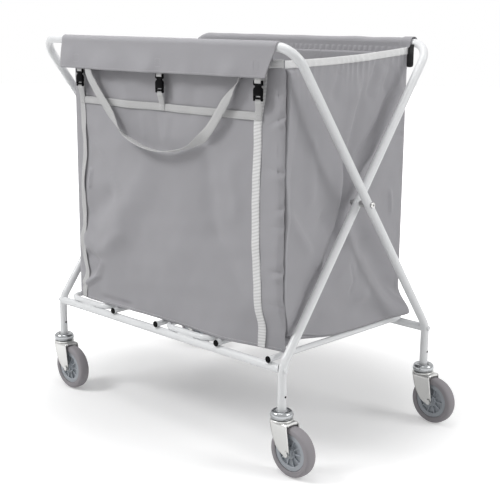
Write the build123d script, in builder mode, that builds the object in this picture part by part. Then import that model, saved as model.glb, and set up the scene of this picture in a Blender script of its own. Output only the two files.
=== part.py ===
"""Folding linen trolley: two crossed tube frames, a hanging fabric bag, hoop base racks and four casters.

Millimetres, +Z up. The origin lies on the floor, midway between the two frames' feet.
+X runs along the top bars and +Y runs from the flap side to the open side.
"""

import copy
import math
import os

from build123d import *

os.makedirs("parts", exist_ok=True)

# ---------------------------------------------------------------- driving dimensions
# tube frames
tube_d = 22.0
tube_wall = 1.5
leg_x_outer = 471.0  # leg centre line of the wide frame
leg_x_inner = 437.0  # leg centre line of the narrow frame, which folds inside it
top_y = 280.0  # top bar to the middle plane
top_z = 1009.0  # top bar centre line
foot_y = 265.0  # foot to the middle plane
foot_bend_z = 265.0  # where the slanted leg meets the upright foot
top_bend_r = 55.0
foot_bend_r = 60.0
foot_hole_d = 5.0
foot_hole_up = 41.0  # cross hole above the open lower end of the foot

# pivots
bolt_d = 8.0
bolt_head_d = 15.0
bolt_head_t = 5.0
nut_af = 13.0
nut_t = 6.5
spacer_d = 17.0

# base racks
rack_z = 258.0  # stretcher centre line
rack_bolt_d = 6.0
rack_bolt_head_d = 14.0
rack_bolt_head_t = 3.6
saddle_t = 10.0
spigot_l = 16.0
hoop_d = 15.0
hoop_wall = 1.2
hoop_spacing = 179.0  # between the two legs of a hoop
hoop_bend_r = 37.0
hoop_over = 10.5  # hoop tube past the opposite stretcher's centre line
hoop_x_near = 100.0
hoop_x_far = 310.0
weld_l = 58.0
cap_d = 17.0
cap_l = 12.0
cap_wall = 1.0
rest_gap = 0.3  # hoop over the stretchers

# casters
wheel_d = 125.0
tyre_w = 30.0
tyre_wall = 16.5
tread_step = 3.0
rim_ring_t = 12.0
rim_w = 24.0
rib_count = 10
rib_t = 3.0
hub_d = 30.0
hub_w = 38.0
axle_d = 8.0
trail = 38.0
fork_w = 46.0  # over the two side plates
fork_t = 2.5
fork_over = 3.5  # underside of the fork's crown above the tread
foot_over = 22.5  # open lower end of the foot above that
eye_r = 9.5  # round the axle, in the fork's plates
tab_x = 51.0  # reach of the crown's tab from the swivel axis
tab_w = 32.0
tab_lip = 2.5
head_d = 57.0
race_h = 5.0
cup_h = 13.0
stem_l = 45.0

# fabric
cloth_t = 1.6
bag_front_x = (-365.0, 426.5)
bag_rear_x = (-412.0, 376.0)
side_rim_drop = 28.0  # the side walls' rims below the top bars' centre line
end_rim_drop = 25.0  # the front and rear walls' upper edges below it
flap_x = (-383.0, 415.0)
flap_drop = 72.0  # the flap's hem below the bar
strap_drop = 47.0  # upper ends of the webbing sewn under the flap
sleeve_x = (-380.0, 363.0)
sleeve_drop = 51.0
binding_h = 20.0
binding_t = 1.2

# webbing and buckles
web_w = 25.0
web_t = 1.5
strip_x = (-318.0, 353.0)
band_x = (-298.0, 342.0)
band_drop = 159.5
band_w = 19.0
buckle_x = (-298.0, 30.0, 368.0)
buckle_drop = 104.0  # parting line between tongue and socket
buckle_w = 36.0
buckle_t = 9.0
shell_t = 1.6
tongue_h = 21.0
strap_step = 14.0  # over which the strap steps from the buckle to the flap
socket_h = 23.0
prong_l = 17.0
handle_x = (-256.0, 301.0)
handle_drop = 267.0
hook_x = 377.0
hook_drop = 59.0
hook_t = 2.0
hook_gap = 0.8

# clearances
running = 0.05  # radial, on pins and sleeves
side_gap = 0.4  # beside things that turn
cloth_gap = 0.3

# ---------------------------------------------------------------- derived sizes
tube_r = tube_d / 2
bore_r = tube_r - tube_wall
slope_run = top_y + foot_y
slope_rise = top_z - foot_bend_z
pivot_z = top_z - top_y * slope_rise / slope_run
outer_face_x = leg_x_outer + tube_r
inner_face_x = leg_x_inner - tube_r
between_x = leg_x_inner + tube_r
hoop_r = hoop_d / 2
hoop_z = rack_z + tube_r + hoop_r + rest_gap
bag_floor_z = hoop_z + hoop_r + rest_gap
wheel_r = wheel_d / 2
tyre_bore_d = wheel_d - 2 * tyre_wall
rim_ring_d = tyre_bore_d - 2 * rim_ring_t
fork_crown_z = wheel_d + fork_over
foot_z = fork_crown_z + foot_over
foot_hole_z = foot_z + foot_hole_up
sleeve_in_r = tube_r + cloth_gap
sleeve_out_r = sleeve_in_r + cloth_t
side_top_z = top_z - side_rim_drop
end_top_z = top_z - end_rim_drop
flap_hem_z = top_z - flap_drop
strap_top_z = top_z - strap_drop
sleeve_hem_z = top_z - sleeve_drop
band_z = top_z - band_drop
buckle_z = top_z - buckle_drop
handle_low_z = top_z - handle_drop
hook_low_z = top_z - hook_drop
bag_front_y = -(top_y - sleeve_out_r)  # outer face of the front wall
strip_y = bag_front_y - web_t
band_y = strip_y - web_t
bag_rear_y = top_y - sleeve_out_r - cloth_t  # inner face of the rear wall
sewn_y = -(top_y + sleeve_in_r) + web_t / 2 + 0.1  # webbing sewn to the flap's inner face
hang_y = -(top_y + sleeve_in_r) + cloth_gap + buckle_t / 2  # buckles hang behind the flap, clear of it

foot_places = {
    "fl": (-leg_x_inner, -foot_y),
    "fr": (leg_x_inner, -foot_y),
    "rl": (-leg_x_outer, foot_y),
    "rr": (leg_x_outer, foot_y),
}


def save(shape, name):
    """Label one finished piece and write it as its own STEP file."""
    shape.label = name
    export_step(shape, f"parts/{name}.step")


def save_moved(shape, name, where):
    """Write a copy of a piece, moved from where it was modelled to where it sits."""
    save(copy.copy(shape).moved(where), name)


# ---------------------------------------------------------------- tube frames
def frame_corners(leg_x, side):
    """Corner points of a frame whose top bar is on the side of the given sign."""
    return [
        (-leg_x, -side * foot_y, foot_z),
        (-leg_x, -side * foot_y, foot_bend_z),
        (-leg_x, side * top_y, top_z),
        (leg_x, side * top_y, top_z),
        (leg_x, -side * foot_y, foot_bend_z),
        (leg_x, -side * foot_y, foot_z),
    ]


frame_radii = [foot_bend_r, top_bend_r, top_bend_r, foot_bend_r]

with BuildPart() as outer_frame:
    with BuildLine() as outer_path:
        FilletPolyline(*frame_corners(leg_x_outer, -1), radius=frame_radii)
    with BuildSketch(Plane(origin=(-leg_x_outer, foot_y, foot_z), z_dir=(0, 0, 1))):
        Circle(tube_r)
        Circle(bore_r, mode=Mode.SUBTRACT)
    sweep(path=outer_path.wire())
    # pivot holes and stretcher bolt holes run across both legs; the small height holes cross the feet
    with BuildSketch(Plane.YZ):
        with Locations((0, pivot_z)):
            Circle(bolt_d / 2 + running)
        with Locations((foot_y, rack_z)):
            Circle(rack_bolt_d / 2 + running)
        with Locations((foot_y, foot_hole_z)):
            Circle(foot_hole_d / 2)
    extrude(amount=outer_face_x + 1, both=True, mode=Mode.SUBTRACT)
save(outer_frame.part, "outer_frame")

with BuildPart() as inner_frame:
    with BuildLine() as inner_path:
        FilletPolyline(*frame_corners(leg_x_inner, 1), radius=frame_radii)
    with BuildSketch(Plane(origin=(-leg_x_inner, -foot_y, foot_z), z_dir=(0, 0, 1))):
        Circle(tube_r)
        Circle(bore_r, mode=Mode.SUBTRACT)
    sweep(path=inner_path.wire())
    with BuildSketch(Plane.YZ):
        with Locations((0, pivot_z)):
            Circle(bolt_d / 2 + running)
        with Locations((-foot_y, rack_z)):
            Circle(rack_bolt_d / 2 + running)
        with Locations((-foot_y, foot_hole_z)):
            Circle(foot_hole_d / 2)
    extrude(amount=between_x + 1, both=True, mode=Mode.SUBTRACT)
save(inner_frame.part, "inner_frame")

# ---------------------------------------------------------------- pivot hardware
# A bolt from outside through both legs with a spacer between them and a cap nut inside.
head_face_x = outer_face_x + side_gap / 2
nut_face_x = inner_face_x - side_gap / 2
spacer_gap = side_gap / 2

with BuildPart() as pivot_bolt:
    with BuildSketch(Plane.YZ.offset(nut_face_x - nut_t)):
        with Locations((0, pivot_z)):
            Circle(bolt_d / 2)
    extrude(amount=head_face_x - nut_face_x + nut_t)
    with BuildSketch(Plane.YZ.offset(head_face_x)):
        with Locations((0, pivot_z)):
            Circle(bolt_head_d / 2)
    extrude(amount=bolt_head_t)
    fillet(pivot_bolt.edges().group_by(Axis.X)[-1], bolt_head_t * 0.55)
    with BuildSketch(Plane.YZ.offset(head_face_x + bolt_head_t)):
        with Locations((0, pivot_z)):
            RegularPolygon(bolt_d * 0.36, 6)
    extrude(amount=-bolt_head_t * 0.6, mode=Mode.SUBTRACT)

with BuildPart() as pivot_spacer:
    with BuildSketch(Plane.YZ.offset(between_x + spacer_gap)):
        with Locations((0, pivot_z)):
            Circle(spacer_d / 2)
            Circle(bolt_d / 2 + running, mode=Mode.SUBTRACT)
    extrude(amount=leg_x_outer - tube_r - between_x - 2 * spacer_gap)

with BuildPart() as pivot_nut:
    with BuildSketch(Plane.YZ.offset(nut_face_x)):
        with Locations((0, pivot_z)):
            RegularPolygon(nut_af / 2, 6, major_radius=False)
    extrude(amount=-nut_t)
    with BuildSketch(Plane.YZ.offset(nut_face_x - nut_t)):
        with Locations((0, pivot_z)):
            Circle(nut_af * 0.46)
    extrude(amount=-nut_t * 0.45)
    fillet(pivot_nut.edges().group_by(Axis.X)[0], nut_t * 0.4)
    with BuildSketch(Plane.YZ.offset(nut_face_x)):
        with Locations((0, pivot_z)):
            Circle(bolt_d / 2)
    extrude(amount=-nut_t, mode=Mode.SUBTRACT)

for piece, name in ((pivot_bolt, "pivot_bolt"), (pivot_spacer, "pivot_spacer"), (pivot_nut, "pivot_nut")):
    save_moved(piece.part, f"{name}_right", Location())
    save(piece.part.mirror(Plane.YZ), f"{name}_left")


# ---------------------------------------------------------------- base racks
def build_rack(side, leg_x, hoop_xs, name):
    """Stretcher, bolts, saddles, hoops and caps of one rack, carried by the legs at leg_x.

    side is -1 for the rack on the front feet, whose hoops point to +Y, and 1 for the other.
    """
    face_x = leg_x - tube_r
    tube_end = face_x - saddle_t - side_gap
    y0 = side * foot_y

    with BuildPart() as stretcher:
        with BuildSketch(Plane.YZ):
            with Locations((y0, rack_z)):
                Circle(tube_r)
                Circle(bore_r, mode=Mode.SUBTRACT)
        extrude(amount=tube_end, both=True)
    save(stretcher.part, f"stretcher_{name}")

    # the saddle's outer end is hollowed to the leg's own bend, and its spigot carries the turning tube
    with BuildPart() as saddle:
        with BuildSketch(Plane.YZ.offset(face_x - saddle_t)):
            with Locations((y0, rack_z)):
                Circle(tube_r)
        extrude(amount=saddle_t + tube_r * 0.45)
        with BuildSketch(Plane.YZ.offset(face_x - saddle_t)):
            with Locations((y0, rack_z)):
                Circle(bore_r - running)
        extrude(amount=-spigot_l)
        chamfer(saddle.edges().group_by(Axis.X)[0], 1.0)
        with BuildSketch(Plane.YZ):
            with Locations((y0, rack_z)):
                Circle(rack_bolt_d / 2 + running)
        extrude(amount=leg_x, mode=Mode.SUBTRACT)
        with BuildSketch(Plane(origin=(leg_x, y0, foot_bend_z - foot_bend_r), z_dir=(0, 0, 1))):
            Circle(tube_r + running)
        extrude(amount=foot_bend_r * 2, mode=Mode.SUBTRACT)
        with BuildLine() as leg_line:
            FilletPolyline(
                (leg_x, y0, foot_z),
                (leg_x, y0, foot_bend_z),
                (leg_x, 0, pivot_z),
                radius=foot_bend_r,
            )
        with BuildSketch(Plane(origin=(leg_x, y0, foot_z), z_dir=(0, 0, 1))):
            Circle(tube_r + running)
        sweep(path=leg_line.wire(), mode=Mode.SUBTRACT)
    pair = [saddle.part, saddle.part.mirror(Plane.YZ)]
    save(Compound(children=pair), f"saddles_{name}")

    # the bolt's domed head is seated on the leg's round face, and its shank crosses leg and saddle
    with BuildPart() as rack_bolt:
        with BuildSketch(Plane.YZ.offset(leg_x + tube_r - 0.6)):
            with Locations((y0, rack_z)):
                Circle(rack_bolt_head_d / 2)
        extrude(amount=rack_bolt_head_t)
        fillet(rack_bolt.edges().group_by(Axis.X)[-1], rack_bolt_head_t * 0.7)
        with BuildSketch(Plane(origin=(leg_x, y0, foot_z), z_dir=(0, 0, 1))):
            Circle(tube_r + running)
        sweep(path=leg_line.wire(), mode=Mode.SUBTRACT)
        with BuildSketch(Plane.YZ.offset(face_x - saddle_t - spigot_l - 2)):
            with Locations((y0, rack_z)):
                Circle(rack_bolt_d / 2)
        extrude(amount=tube_d + saddle_t + spigot_l + 2.6)
    pair = [rack_bolt.part, rack_bolt.part.mirror(Plane.YZ)]
    save(Compound(children=pair), f"rack_bolts_{name}")

    # one hoop: two legs joined by a bight, which is welded on top of the stretcher
    tip_y = -side * (foot_y + hoop_over)
    caps = []
    for number, x in enumerate(hoop_xs, start=1):
        half = hoop_spacing / 2
        with BuildPart() as hoop:
            with BuildLine() as hoop_path:
                FilletPolyline(
                    (x - half, tip_y, hoop_z),
                    (x - half, y0, hoop_z),
                    (x + half, y0, hoop_z),
                    (x + half, tip_y, hoop_z),
                    radius=hoop_bend_r,
                )
            with BuildSketch(Plane(origin=(x - half, tip_y, hoop_z), z_dir=(0, side, 0))):
                Circle(hoop_r)
                Circle(hoop_r - hoop_wall, mode=Mode.SUBTRACT)
            sweep(path=hoop_path.wire())
            # weld beads fill the grooves on both sides of the line where the tubes meet
            with BuildSketch(Plane.YZ.offset(x - weld_l / 2)):
                with Locations((y0, rack_z + tube_r)):
                    Rectangle(hoop_d * 0.66, hoop_d * 0.42)
                with Locations((y0, rack_z)):
                    Circle(tube_r, mode=Mode.SUBTRACT)
                with Locations((y0, hoop_z)):
                    Circle(hoop_r - hoop_wall / 2, mode=Mode.SUBTRACT)
            extrude(amount=weld_l)
        save(hoop.part, f"hoop_{name}_{number}")
        for leg in (x - half, x + half):
            with BuildPart() as cap:
                with BuildSketch(Plane(origin=(leg, tip_y, hoop_z), z_dir=(0, -side, 0))):
                    Circle(cap_d / 2)
                extrude(amount=2.0)
                fillet(cap.edges().sort_by(Axis.Y)[0 if side > 0 else -1], 1.6)
                with BuildSketch(Plane(origin=(leg, tip_y, hoop_z), z_dir=(0, side, 0))):
                    Circle(hoop_r - hoop_wall - running)
                    Circle(hoop_r - hoop_wall - cap_wall * 2, mode=Mode.SUBTRACT)
                extrude(amount=cap_l)
            caps.append(cap.part)
    save(Compound(children=caps), f"hoop_caps_{name}")


build_rack(-1, leg_x_inner, (-hoop_x_far, hoop_x_near), "front")
build_rack(1, leg_x_outer, (-hoop_x_near, hoop_x_far), "rear")

# ---------------------------------------------------------------- swivel caster
# Modelled once with its swivel axis on Z, trailing towards +X, and copied to the four feet.
axle_z = wheel_r
crown_top = fork_crown_z + fork_t
cup_z = foot_z - cup_h

with BuildPart() as caster_head:
    # domed swivel cup with a rolled lip, closed round the king pin and topped by the stem
    with BuildSketch(Plane.XZ):
        with BuildLine():
            Polyline((0, foot_z), (tube_r + 1, foot_z))
            Spline((tube_r + 1, foot_z), (head_d * 0.36, foot_z - cup_h * 0.25), (head_d * 0.46, cup_z + 4.6))
            Polyline((head_d * 0.46, cup_z + 4.6), (head_d / 2, cup_z + 3.4), (head_d / 2, cup_z))
            Polyline((head_d / 2, cup_z), (head_d * 0.40, cup_z), (head_d * 0.38, cup_z + 3.4))
            Polyline((head_d * 0.38, cup_z + 3.4), (0, cup_z + 3.4), (0, foot_z))
        make_face()
    revolve(axis=Axis.Z)
    # expanding plug inside the foot, with a bevelled top
    with BuildSketch(Plane.XY.offset(foot_z)):
        Circle(bore_r - running)
    extrude(amount=stem_l * 0.6)
    chamfer(caster_head.edges().group_by(Axis.Z)[-1], 2.0)
    with BuildSketch(Plane.XY.offset(foot_z + stem_l * 0.6)):
        Circle(axle_d * 0.7)
    extrude(amount=stem_l * 0.18)
    # king pin through the fork's crown, with its riveted lower end
    with BuildSketch(Plane.XY.offset(fork_crown_z - 1.0)):
        Circle(axle_d * 0.75)
    extrude(amount=cup_z + 4 - fork_crown_z + 1.0)
    with BuildSketch(Plane.XY.offset(fork_crown_z - side_gap)):
        Circle(axle_d * 0.95)
    extrude(amount=-2.0)

king_r = axle_d * 0.75

with BuildPart() as caster_fork:
    # side plates in outline: wide at the crown, straight in front, swept in behind to the axle eye
    with BuildSketch(Plane.XZ):
        with BuildLine():
            front = Spline(
                (head_d * 0.52, crown_top),
                (trail + 1.0, crown_top - 22.0),
                (trail + eye_r * 0.62, axle_z + 12.0),
                (trail + eye_r, axle_z),
            )
            eye = ThreePointArc(front @ 1, (trail, axle_z - eye_r), (trail - eye_r, axle_z - eye_r * 0.4))
            back = Spline(
                eye @ 1,
                (trail * 0.10, axle_z + 8.5),
                (-head_d * 0.23, axle_z + 32.0),
                (-head_d * 0.44, crown_top),
            )
            Line(back @ 1, front @ 0)
        make_face()
    extrude(amount=fork_w / 2, both=True)
    # pressed tab of the crown, which reaches out over the tyre and turns down at its end
    with BuildSketch(Plane.XY.offset(fork_crown_z)):
        with Locations((tab_x / 2, 0)):
            Rectangle(tab_x, tab_w)
    extrude(amount=fork_t)
    with BuildSketch(Plane.XY.offset(fork_crown_z)):
        with Locations((tab_x - fork_t / 2, 0)):
            Rectangle(fork_t, tab_w)
    extrude(amount=-tab_lip)
    # the channel between the plates, below the crown
    with BuildSketch(Plane.YZ.offset(-head_d)):
        with Locations((0, fork_crown_z / 2)):
            Rectangle(fork_w - 2 * fork_t, fork_crown_z)
    extrude(amount=head_d * 3, mode=Mode.SUBTRACT)
    crown_edges = caster_fork.edges().filter_by(Axis.X).group_by(Axis.Z)[-1].sort_by(Axis.Y)
    fillet([crown_edges[0], crown_edges[-1]], fork_t * 0.9)
    # pressed lower race, dished round the king pin
    with BuildSketch(Plane.XZ):
        with BuildLine():
            Polyline((king_r + running * 2, crown_top - 1), (head_d * 0.46, crown_top - 1))
            Spline((head_d * 0.46, crown_top - 1), (head_d * 0.45, crown_top + 2.2), (head_d * 0.37, crown_top + race_h))
            Polyline(
                (head_d * 0.37, crown_top + race_h),
                (king_r + running * 2, crown_top + race_h),
                (king_r + running * 2, crown_top - 1),
            )
        make_face()
    revolve(axis=Axis.Z)
    with BuildSketch(Plane.XY.offset(fork_crown_z - 1)):
        Circle(king_r + running * 2)
    extrude(amount=race_h + fork_t + 2, mode=Mode.SUBTRACT)
    with BuildSketch(Plane.XZ.offset(-fork_w)):
        with Locations((trail, axle_z)):
            Circle(axle_d / 2 + running)
    extrude(amount=fork_w * 2, mode=Mode.SUBTRACT)

with BuildPart() as caster_axle:
    with BuildSketch(Plane.XZ.offset(fork_w / 2)):
        with Locations((trail, axle_z)):
            RegularPolygon(nut_af / 2, 6, major_radius=False)
    extrude(amount=nut_t * 0.85)
    with BuildSketch(Plane.XZ.offset(-fork_w / 2)):
        with Locations((trail, axle_z)):
            RegularPolygon(nut_af / 2, 6, major_radius=False)
    extrude(amount=-nut_t)
    with BuildSketch(Plane.XZ.offset(-fork_w / 2 - nut_t - 2)):
        with Locations((trail, axle_z)):
            Circle(axle_d / 2)
    extrude(amount=fork_w + nut_t + 2)
    chamfer(caster_axle.edges().group_by(Axis.Y)[-1], 0.8)

with BuildPart() as caster_tyre:
    # rounded tread between two stepped shoulders, turned about the axle
    with BuildSketch(Plane.YZ):
        with BuildLine():
            rise = tyre_bore_d / 2
            Polyline((-tyre_w / 2 + 1.5, rise), (-tyre_w / 2 + 1.5, rise + 1.5), (-tyre_w / 2, rise + 3))
            Line((-tyre_w / 2, rise + 3), (-tyre_w / 2, wheel_r - tread_step * 2.4))
            Spline(
                (-tyre_w / 2, wheel_r - tread_step * 2.4),
                (-tyre_w / 2 + 2.0, wheel_r - tread_step),
                (-tyre_w / 4, wheel_r - 0.6),
                (0, wheel_r),
                (tyre_w / 4, wheel_r - 0.6),
                (tyre_w / 2 - 2.0, wheel_r - tread_step),
                (tyre_w / 2, wheel_r - tread_step * 2.4),
            )
            Line((tyre_w / 2, wheel_r - tread_step * 2.4), (tyre_w / 2, rise + 3))
            Polyline((tyre_w / 2, rise + 3), (tyre_w / 2 - 1.5, rise + 1.5), (tyre_w / 2 - 1.5, rise))
            Line((tyre_w / 2 - 1.5, rise), (-tyre_w / 2 + 1.5, rise))
        make_face()
    revolve(axis=Axis.Y)

with BuildPart() as caster_rim:
    with BuildSketch(Plane.XZ.offset(-rim_w / 2)):
        Circle(tyre_bore_d / 2 - running)
        Circle(rim_ring_d / 2, mode=Mode.SUBTRACT)
    extrude(amount=rim_w)
    chamfer(caster_rim.edges().filter_by(GeomType.CIRCLE), 1.2)
    with BuildSketch(Plane.XZ.offset(-2.0)):
        Circle(rim_ring_d / 2 + 1)
    extrude(amount=4.0)
    with BuildSketch(Plane.XZ.offset(-rim_w / 2 + 2)):
        with PolarLocations((rim_ring_d + hub_d) / 4, rib_count):
            Rectangle((rim_ring_d - hub_d) / 2 + 2, rib_t)
    extrude(amount=rim_w - 4)
    with BuildSketch(Plane.XZ.offset(-hub_w / 2)):
        Circle(hub_d / 2 * 0.72)
    extrude(amount=hub_w)
    with BuildSketch(Plane.XZ.offset(-rim_w / 2)):
        Circle(hub_d / 2)
    extrude(amount=rim_w)
    with BuildSketch(Plane.XZ.offset(-hub_w)):
        Circle(axle_d / 2 + running)
    extrude(amount=hub_w * 2, mode=Mode.SUBTRACT)

for corner, (foot_x, at_y) in foot_places.items():
    at_foot = Location((foot_x, at_y, 0))
    at_axle = Location((foot_x + trail, at_y, axle_z))
    save_moved(caster_head.part, f"caster_{corner}_head", at_foot)
    save_moved(caster_fork.part, f"caster_{corner}_fork", at_foot)
    save_moved(caster_axle.part, f"caster_{corner}_axle", at_foot)
    save_moved(caster_tyre.part, f"caster_{corner}_tyre", at_axle)
    save_moved(caster_rim.part, f"caster_{corner}_rim", at_axle)

# ---------------------------------------------------------------- fabric bag
# Thin cloth panels. The rear wall sits further left than the front one, so both side walls run aslant.
front_wall_in_y = bag_front_y + cloth_t
wall_z = bag_floor_z + cloth_t


def side_sketch_corners(k):
    """Plan corners of one side wall, k = 0 for the left wall and 1 for the right one."""
    inward = 1 if k == 0 else -1
    return [
        (bag_front_x[k], front_wall_in_y),
        (bag_rear_x[k], bag_rear_y),
        (bag_rear_x[k] + inward * cloth_t, bag_rear_y),
        (bag_front_x[k] + inward * cloth_t, front_wall_in_y),
    ]


for k, name in enumerate(("left", "right")):
    with BuildPart() as side_wall:
        with BuildSketch(Plane.XY.offset(wall_z)):
            with BuildLine():
                Polyline(*side_sketch_corners(k), close=True)
            make_face()
        extrude(amount=side_top_z - wall_z)
    save(side_wall.part, f"bag_{name}")

with BuildPart() as bag_front:
    with BuildSketch(Plane.XZ.offset(-front_wall_in_y)):
        with Locations(((bag_front_x[0] + bag_front_x[1]) / 2, (wall_z + end_top_z) / 2)):
            Rectangle(bag_front_x[1] - bag_front_x[0], end_top_z - wall_z)
    extrude(amount=cloth_t)
save(bag_front.part, "bag_front")

with BuildPart() as bag_rear:
    with BuildSketch(Plane.XZ.offset(-bag_rear_y - cloth_t)):
        with Locations(((bag_rear_x[0] + bag_rear_x[1]) / 2, (wall_z + end_top_z) / 2)):
            Rectangle(bag_rear_x[1] - bag_rear_x[0], end_top_z - wall_z)
    extrude(amount=cloth_t)
save(bag_rear.part, "bag_rear")

with BuildPart() as bag_floor:
    with BuildSketch(Plane.XY.offset(bag_floor_z)):
        with BuildLine():
            Polyline(
                (bag_front_x[0], bag_front_y),
                (bag_rear_x[0], bag_rear_y + cloth_t),
                (bag_rear_x[1], bag_rear_y + cloth_t),
                (bag_front_x[1], bag_front_y),
                close=True,
            )
        make_face()
    extrude(amount=cloth_t)
save(bag_floor.part, "bag_floor")

# folded binding over the rim of each side wall
rims = []
for k, inward in ((0, 1), (1, -1)):
    with BuildPart() as rim:
        with BuildSketch(Plane.XY.offset(side_top_z - binding_h)):
            with BuildLine():
                Polyline(
                    (bag_front_x[k] - inward * binding_t, front_wall_in_y),
                    (bag_rear_x[k] - inward * binding_t, bag_rear_y),
                    (bag_rear_x[k], bag_rear_y),
                    (bag_front_x[k], front_wall_in_y),
                    close=True,
                )
            make_face()
        extrude(amount=binding_h)
        with BuildSketch(Plane.XY.offset(side_top_z)):
            with BuildLine():
                Polyline(
                    (bag_front_x[k] - inward * binding_t, front_wall_in_y),
                    (bag_rear_x[k] - inward * binding_t, bag_rear_y),
                    (bag_rear_x[k] + inward * cloth_t, bag_rear_y),
                    (bag_front_x[k] + inward * cloth_t, front_wall_in_y),
                    close=True,
                )
            make_face()
        extrude(amount=binding_t)
    rims.append(rim.part)
save(Compound(children=rims), "bag_binding")

# flap: over the front bar and down both sides of it
with BuildPart() as flap:
    with BuildSketch(Plane.YZ.offset(flap_x[0])):
        with Locations((-top_y, top_z)):
            Circle(sleeve_out_r)
        with Locations((-top_y - sleeve_out_r / 2 - sleeve_in_r / 2, (top_z + flap_hem_z) / 2)):
            Rectangle(cloth_t, top_z - flap_hem_z)
        with Locations((-top_y + sleeve_out_r / 2 + sleeve_in_r / 2, (top_z + end_top_z) / 2)):
            Rectangle(cloth_t, top_z - end_top_z)
        with Locations((-top_y, top_z)):
            Circle(sleeve_in_r, mode=Mode.SUBTRACT)
        with Locations((-top_y, top_z - sleeve_out_r)):
            Rectangle(2 * sleeve_in_r, 2 * sleeve_out_r, mode=Mode.SUBTRACT)
    extrude(amount=flap_x[1] - flap_x[0])
save(flap.part, "front_flap")

# rear sleeve: closed round the rear bar, with a stitched hem below
with BuildPart() as sleeve:
    with BuildSketch(Plane.YZ.offset(sleeve_x[0])):
        with Locations((top_y, top_z)):
            Circle(sleeve_out_r)
        with Locations((top_y - (sleeve_out_r + sleeve_in_r) / 2, (top_z + sleeve_hem_z) / 2)):
            Rectangle(cloth_t, top_z - sleeve_hem_z)
        with Locations((top_y, top_z)):
            Circle(sleeve_in_r, mode=Mode.SUBTRACT)
    extrude(amount=sleeve_x[1] - sleeve_x[0])
save(sleeve.part, "rear_sleeve")

# ---------------------------------------------------------------- webbing and straps
socket_low_z = buckle_z - socket_h
tongue_top_z = buckle_z + tongue_h
slot_w = web_w + 1.0
slot_t = web_t + 0.8

# strips down the front wall, the band across them and the three straps up to the buckle sockets
with BuildPart() as webbing:
    with BuildSketch(Plane.XZ.offset(-bag_front_y)):
        with Locations(*[(x, (bag_floor_z + strap_top_z) / 2) for x in strip_x]):
            Rectangle(web_w, strap_top_z - bag_floor_z)
    extrude(amount=web_t)
    with BuildSketch(Plane.XZ.offset(-strip_y)):
        with Locations(((band_x[0] + band_x[1]) / 2, band_z)):
            Rectangle(band_x[1] - band_x[0] + 2 * web_w, band_w)
    extrude(amount=web_t)
    # packing behind the band between the strips keeps it against the wall
    with BuildSketch(Plane.XZ.offset(-bag_front_y)):
        with Locations(((band_x[0] + band_x[1]) / 2, band_z)):
            Rectangle(band_x[1] - band_x[0], band_w)
    extrude(amount=web_t)
    for x in buckle_x:
        with BuildSketch(Plane.YZ.offset(x - web_w / 2)):
            with BuildLine():
                Polyline(
                    (hang_y, socket_low_z + 4.0),
                    (hang_y, socket_low_z - 2.0),
                    (band_y - web_t / 2, band_z + band_w / 2),
                    (band_y - web_t / 2, band_z - band_w / 2),
                )
            trace(line_width=web_t)
        extrude(amount=web_w)
save(webbing.part, "bag_webbing")

# female halves: a flat shell open at the top, with side windows and a web slot below
shell_in_w = buckle_w - 2 * shell_t
shell_in_t = buckle_t - 2 * shell_t
prong_w = 5.0
prong_t = shell_in_t - 2 * side_gap
prong_x = shell_in_w / 2 - prong_w / 2 - side_gap

with BuildPart() as socket:
    with BuildSketch(Plane.XY.offset(buckle_z - side_gap / 2)):
        with Locations((0, hang_y)):
            RectangleRounded(buckle_w, buckle_t, buckle_t * 0.32)
    extrude(amount=-(socket_h - side_gap / 2), taper=0)
    with BuildSketch(Plane.XY.offset(buckle_z)):
        with Locations((0, hang_y)):
            Rectangle(shell_in_w, shell_in_t)
    extrude(amount=-(prong_l + 1.0), mode=Mode.SUBTRACT)
    # side windows where the prongs are pinched
    with BuildSketch(Plane.YZ.offset(-buckle_w)):
        with Locations((hang_y, buckle_z - prong_l * 0.58)):
            RectangleRounded(shell_in_t, prong_l * 0.5, 1.2)
    extrude(amount=2 * buckle_w, mode=Mode.SUBTRACT)
    # web slot, open at the bottom, with a window that shows the strap
    with BuildSketch(Plane.XY.offset(socket_low_z)):
        with Locations((0, hang_y)):
            Rectangle(slot_w, slot_t)
    extrude(amount=4.6, mode=Mode.SUBTRACT)
sockets = [copy.copy(socket.part).moved(Location((x, 0, 0))) for x in buckle_x]
save(Compound(children=sockets), "buckle_sockets")

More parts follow.
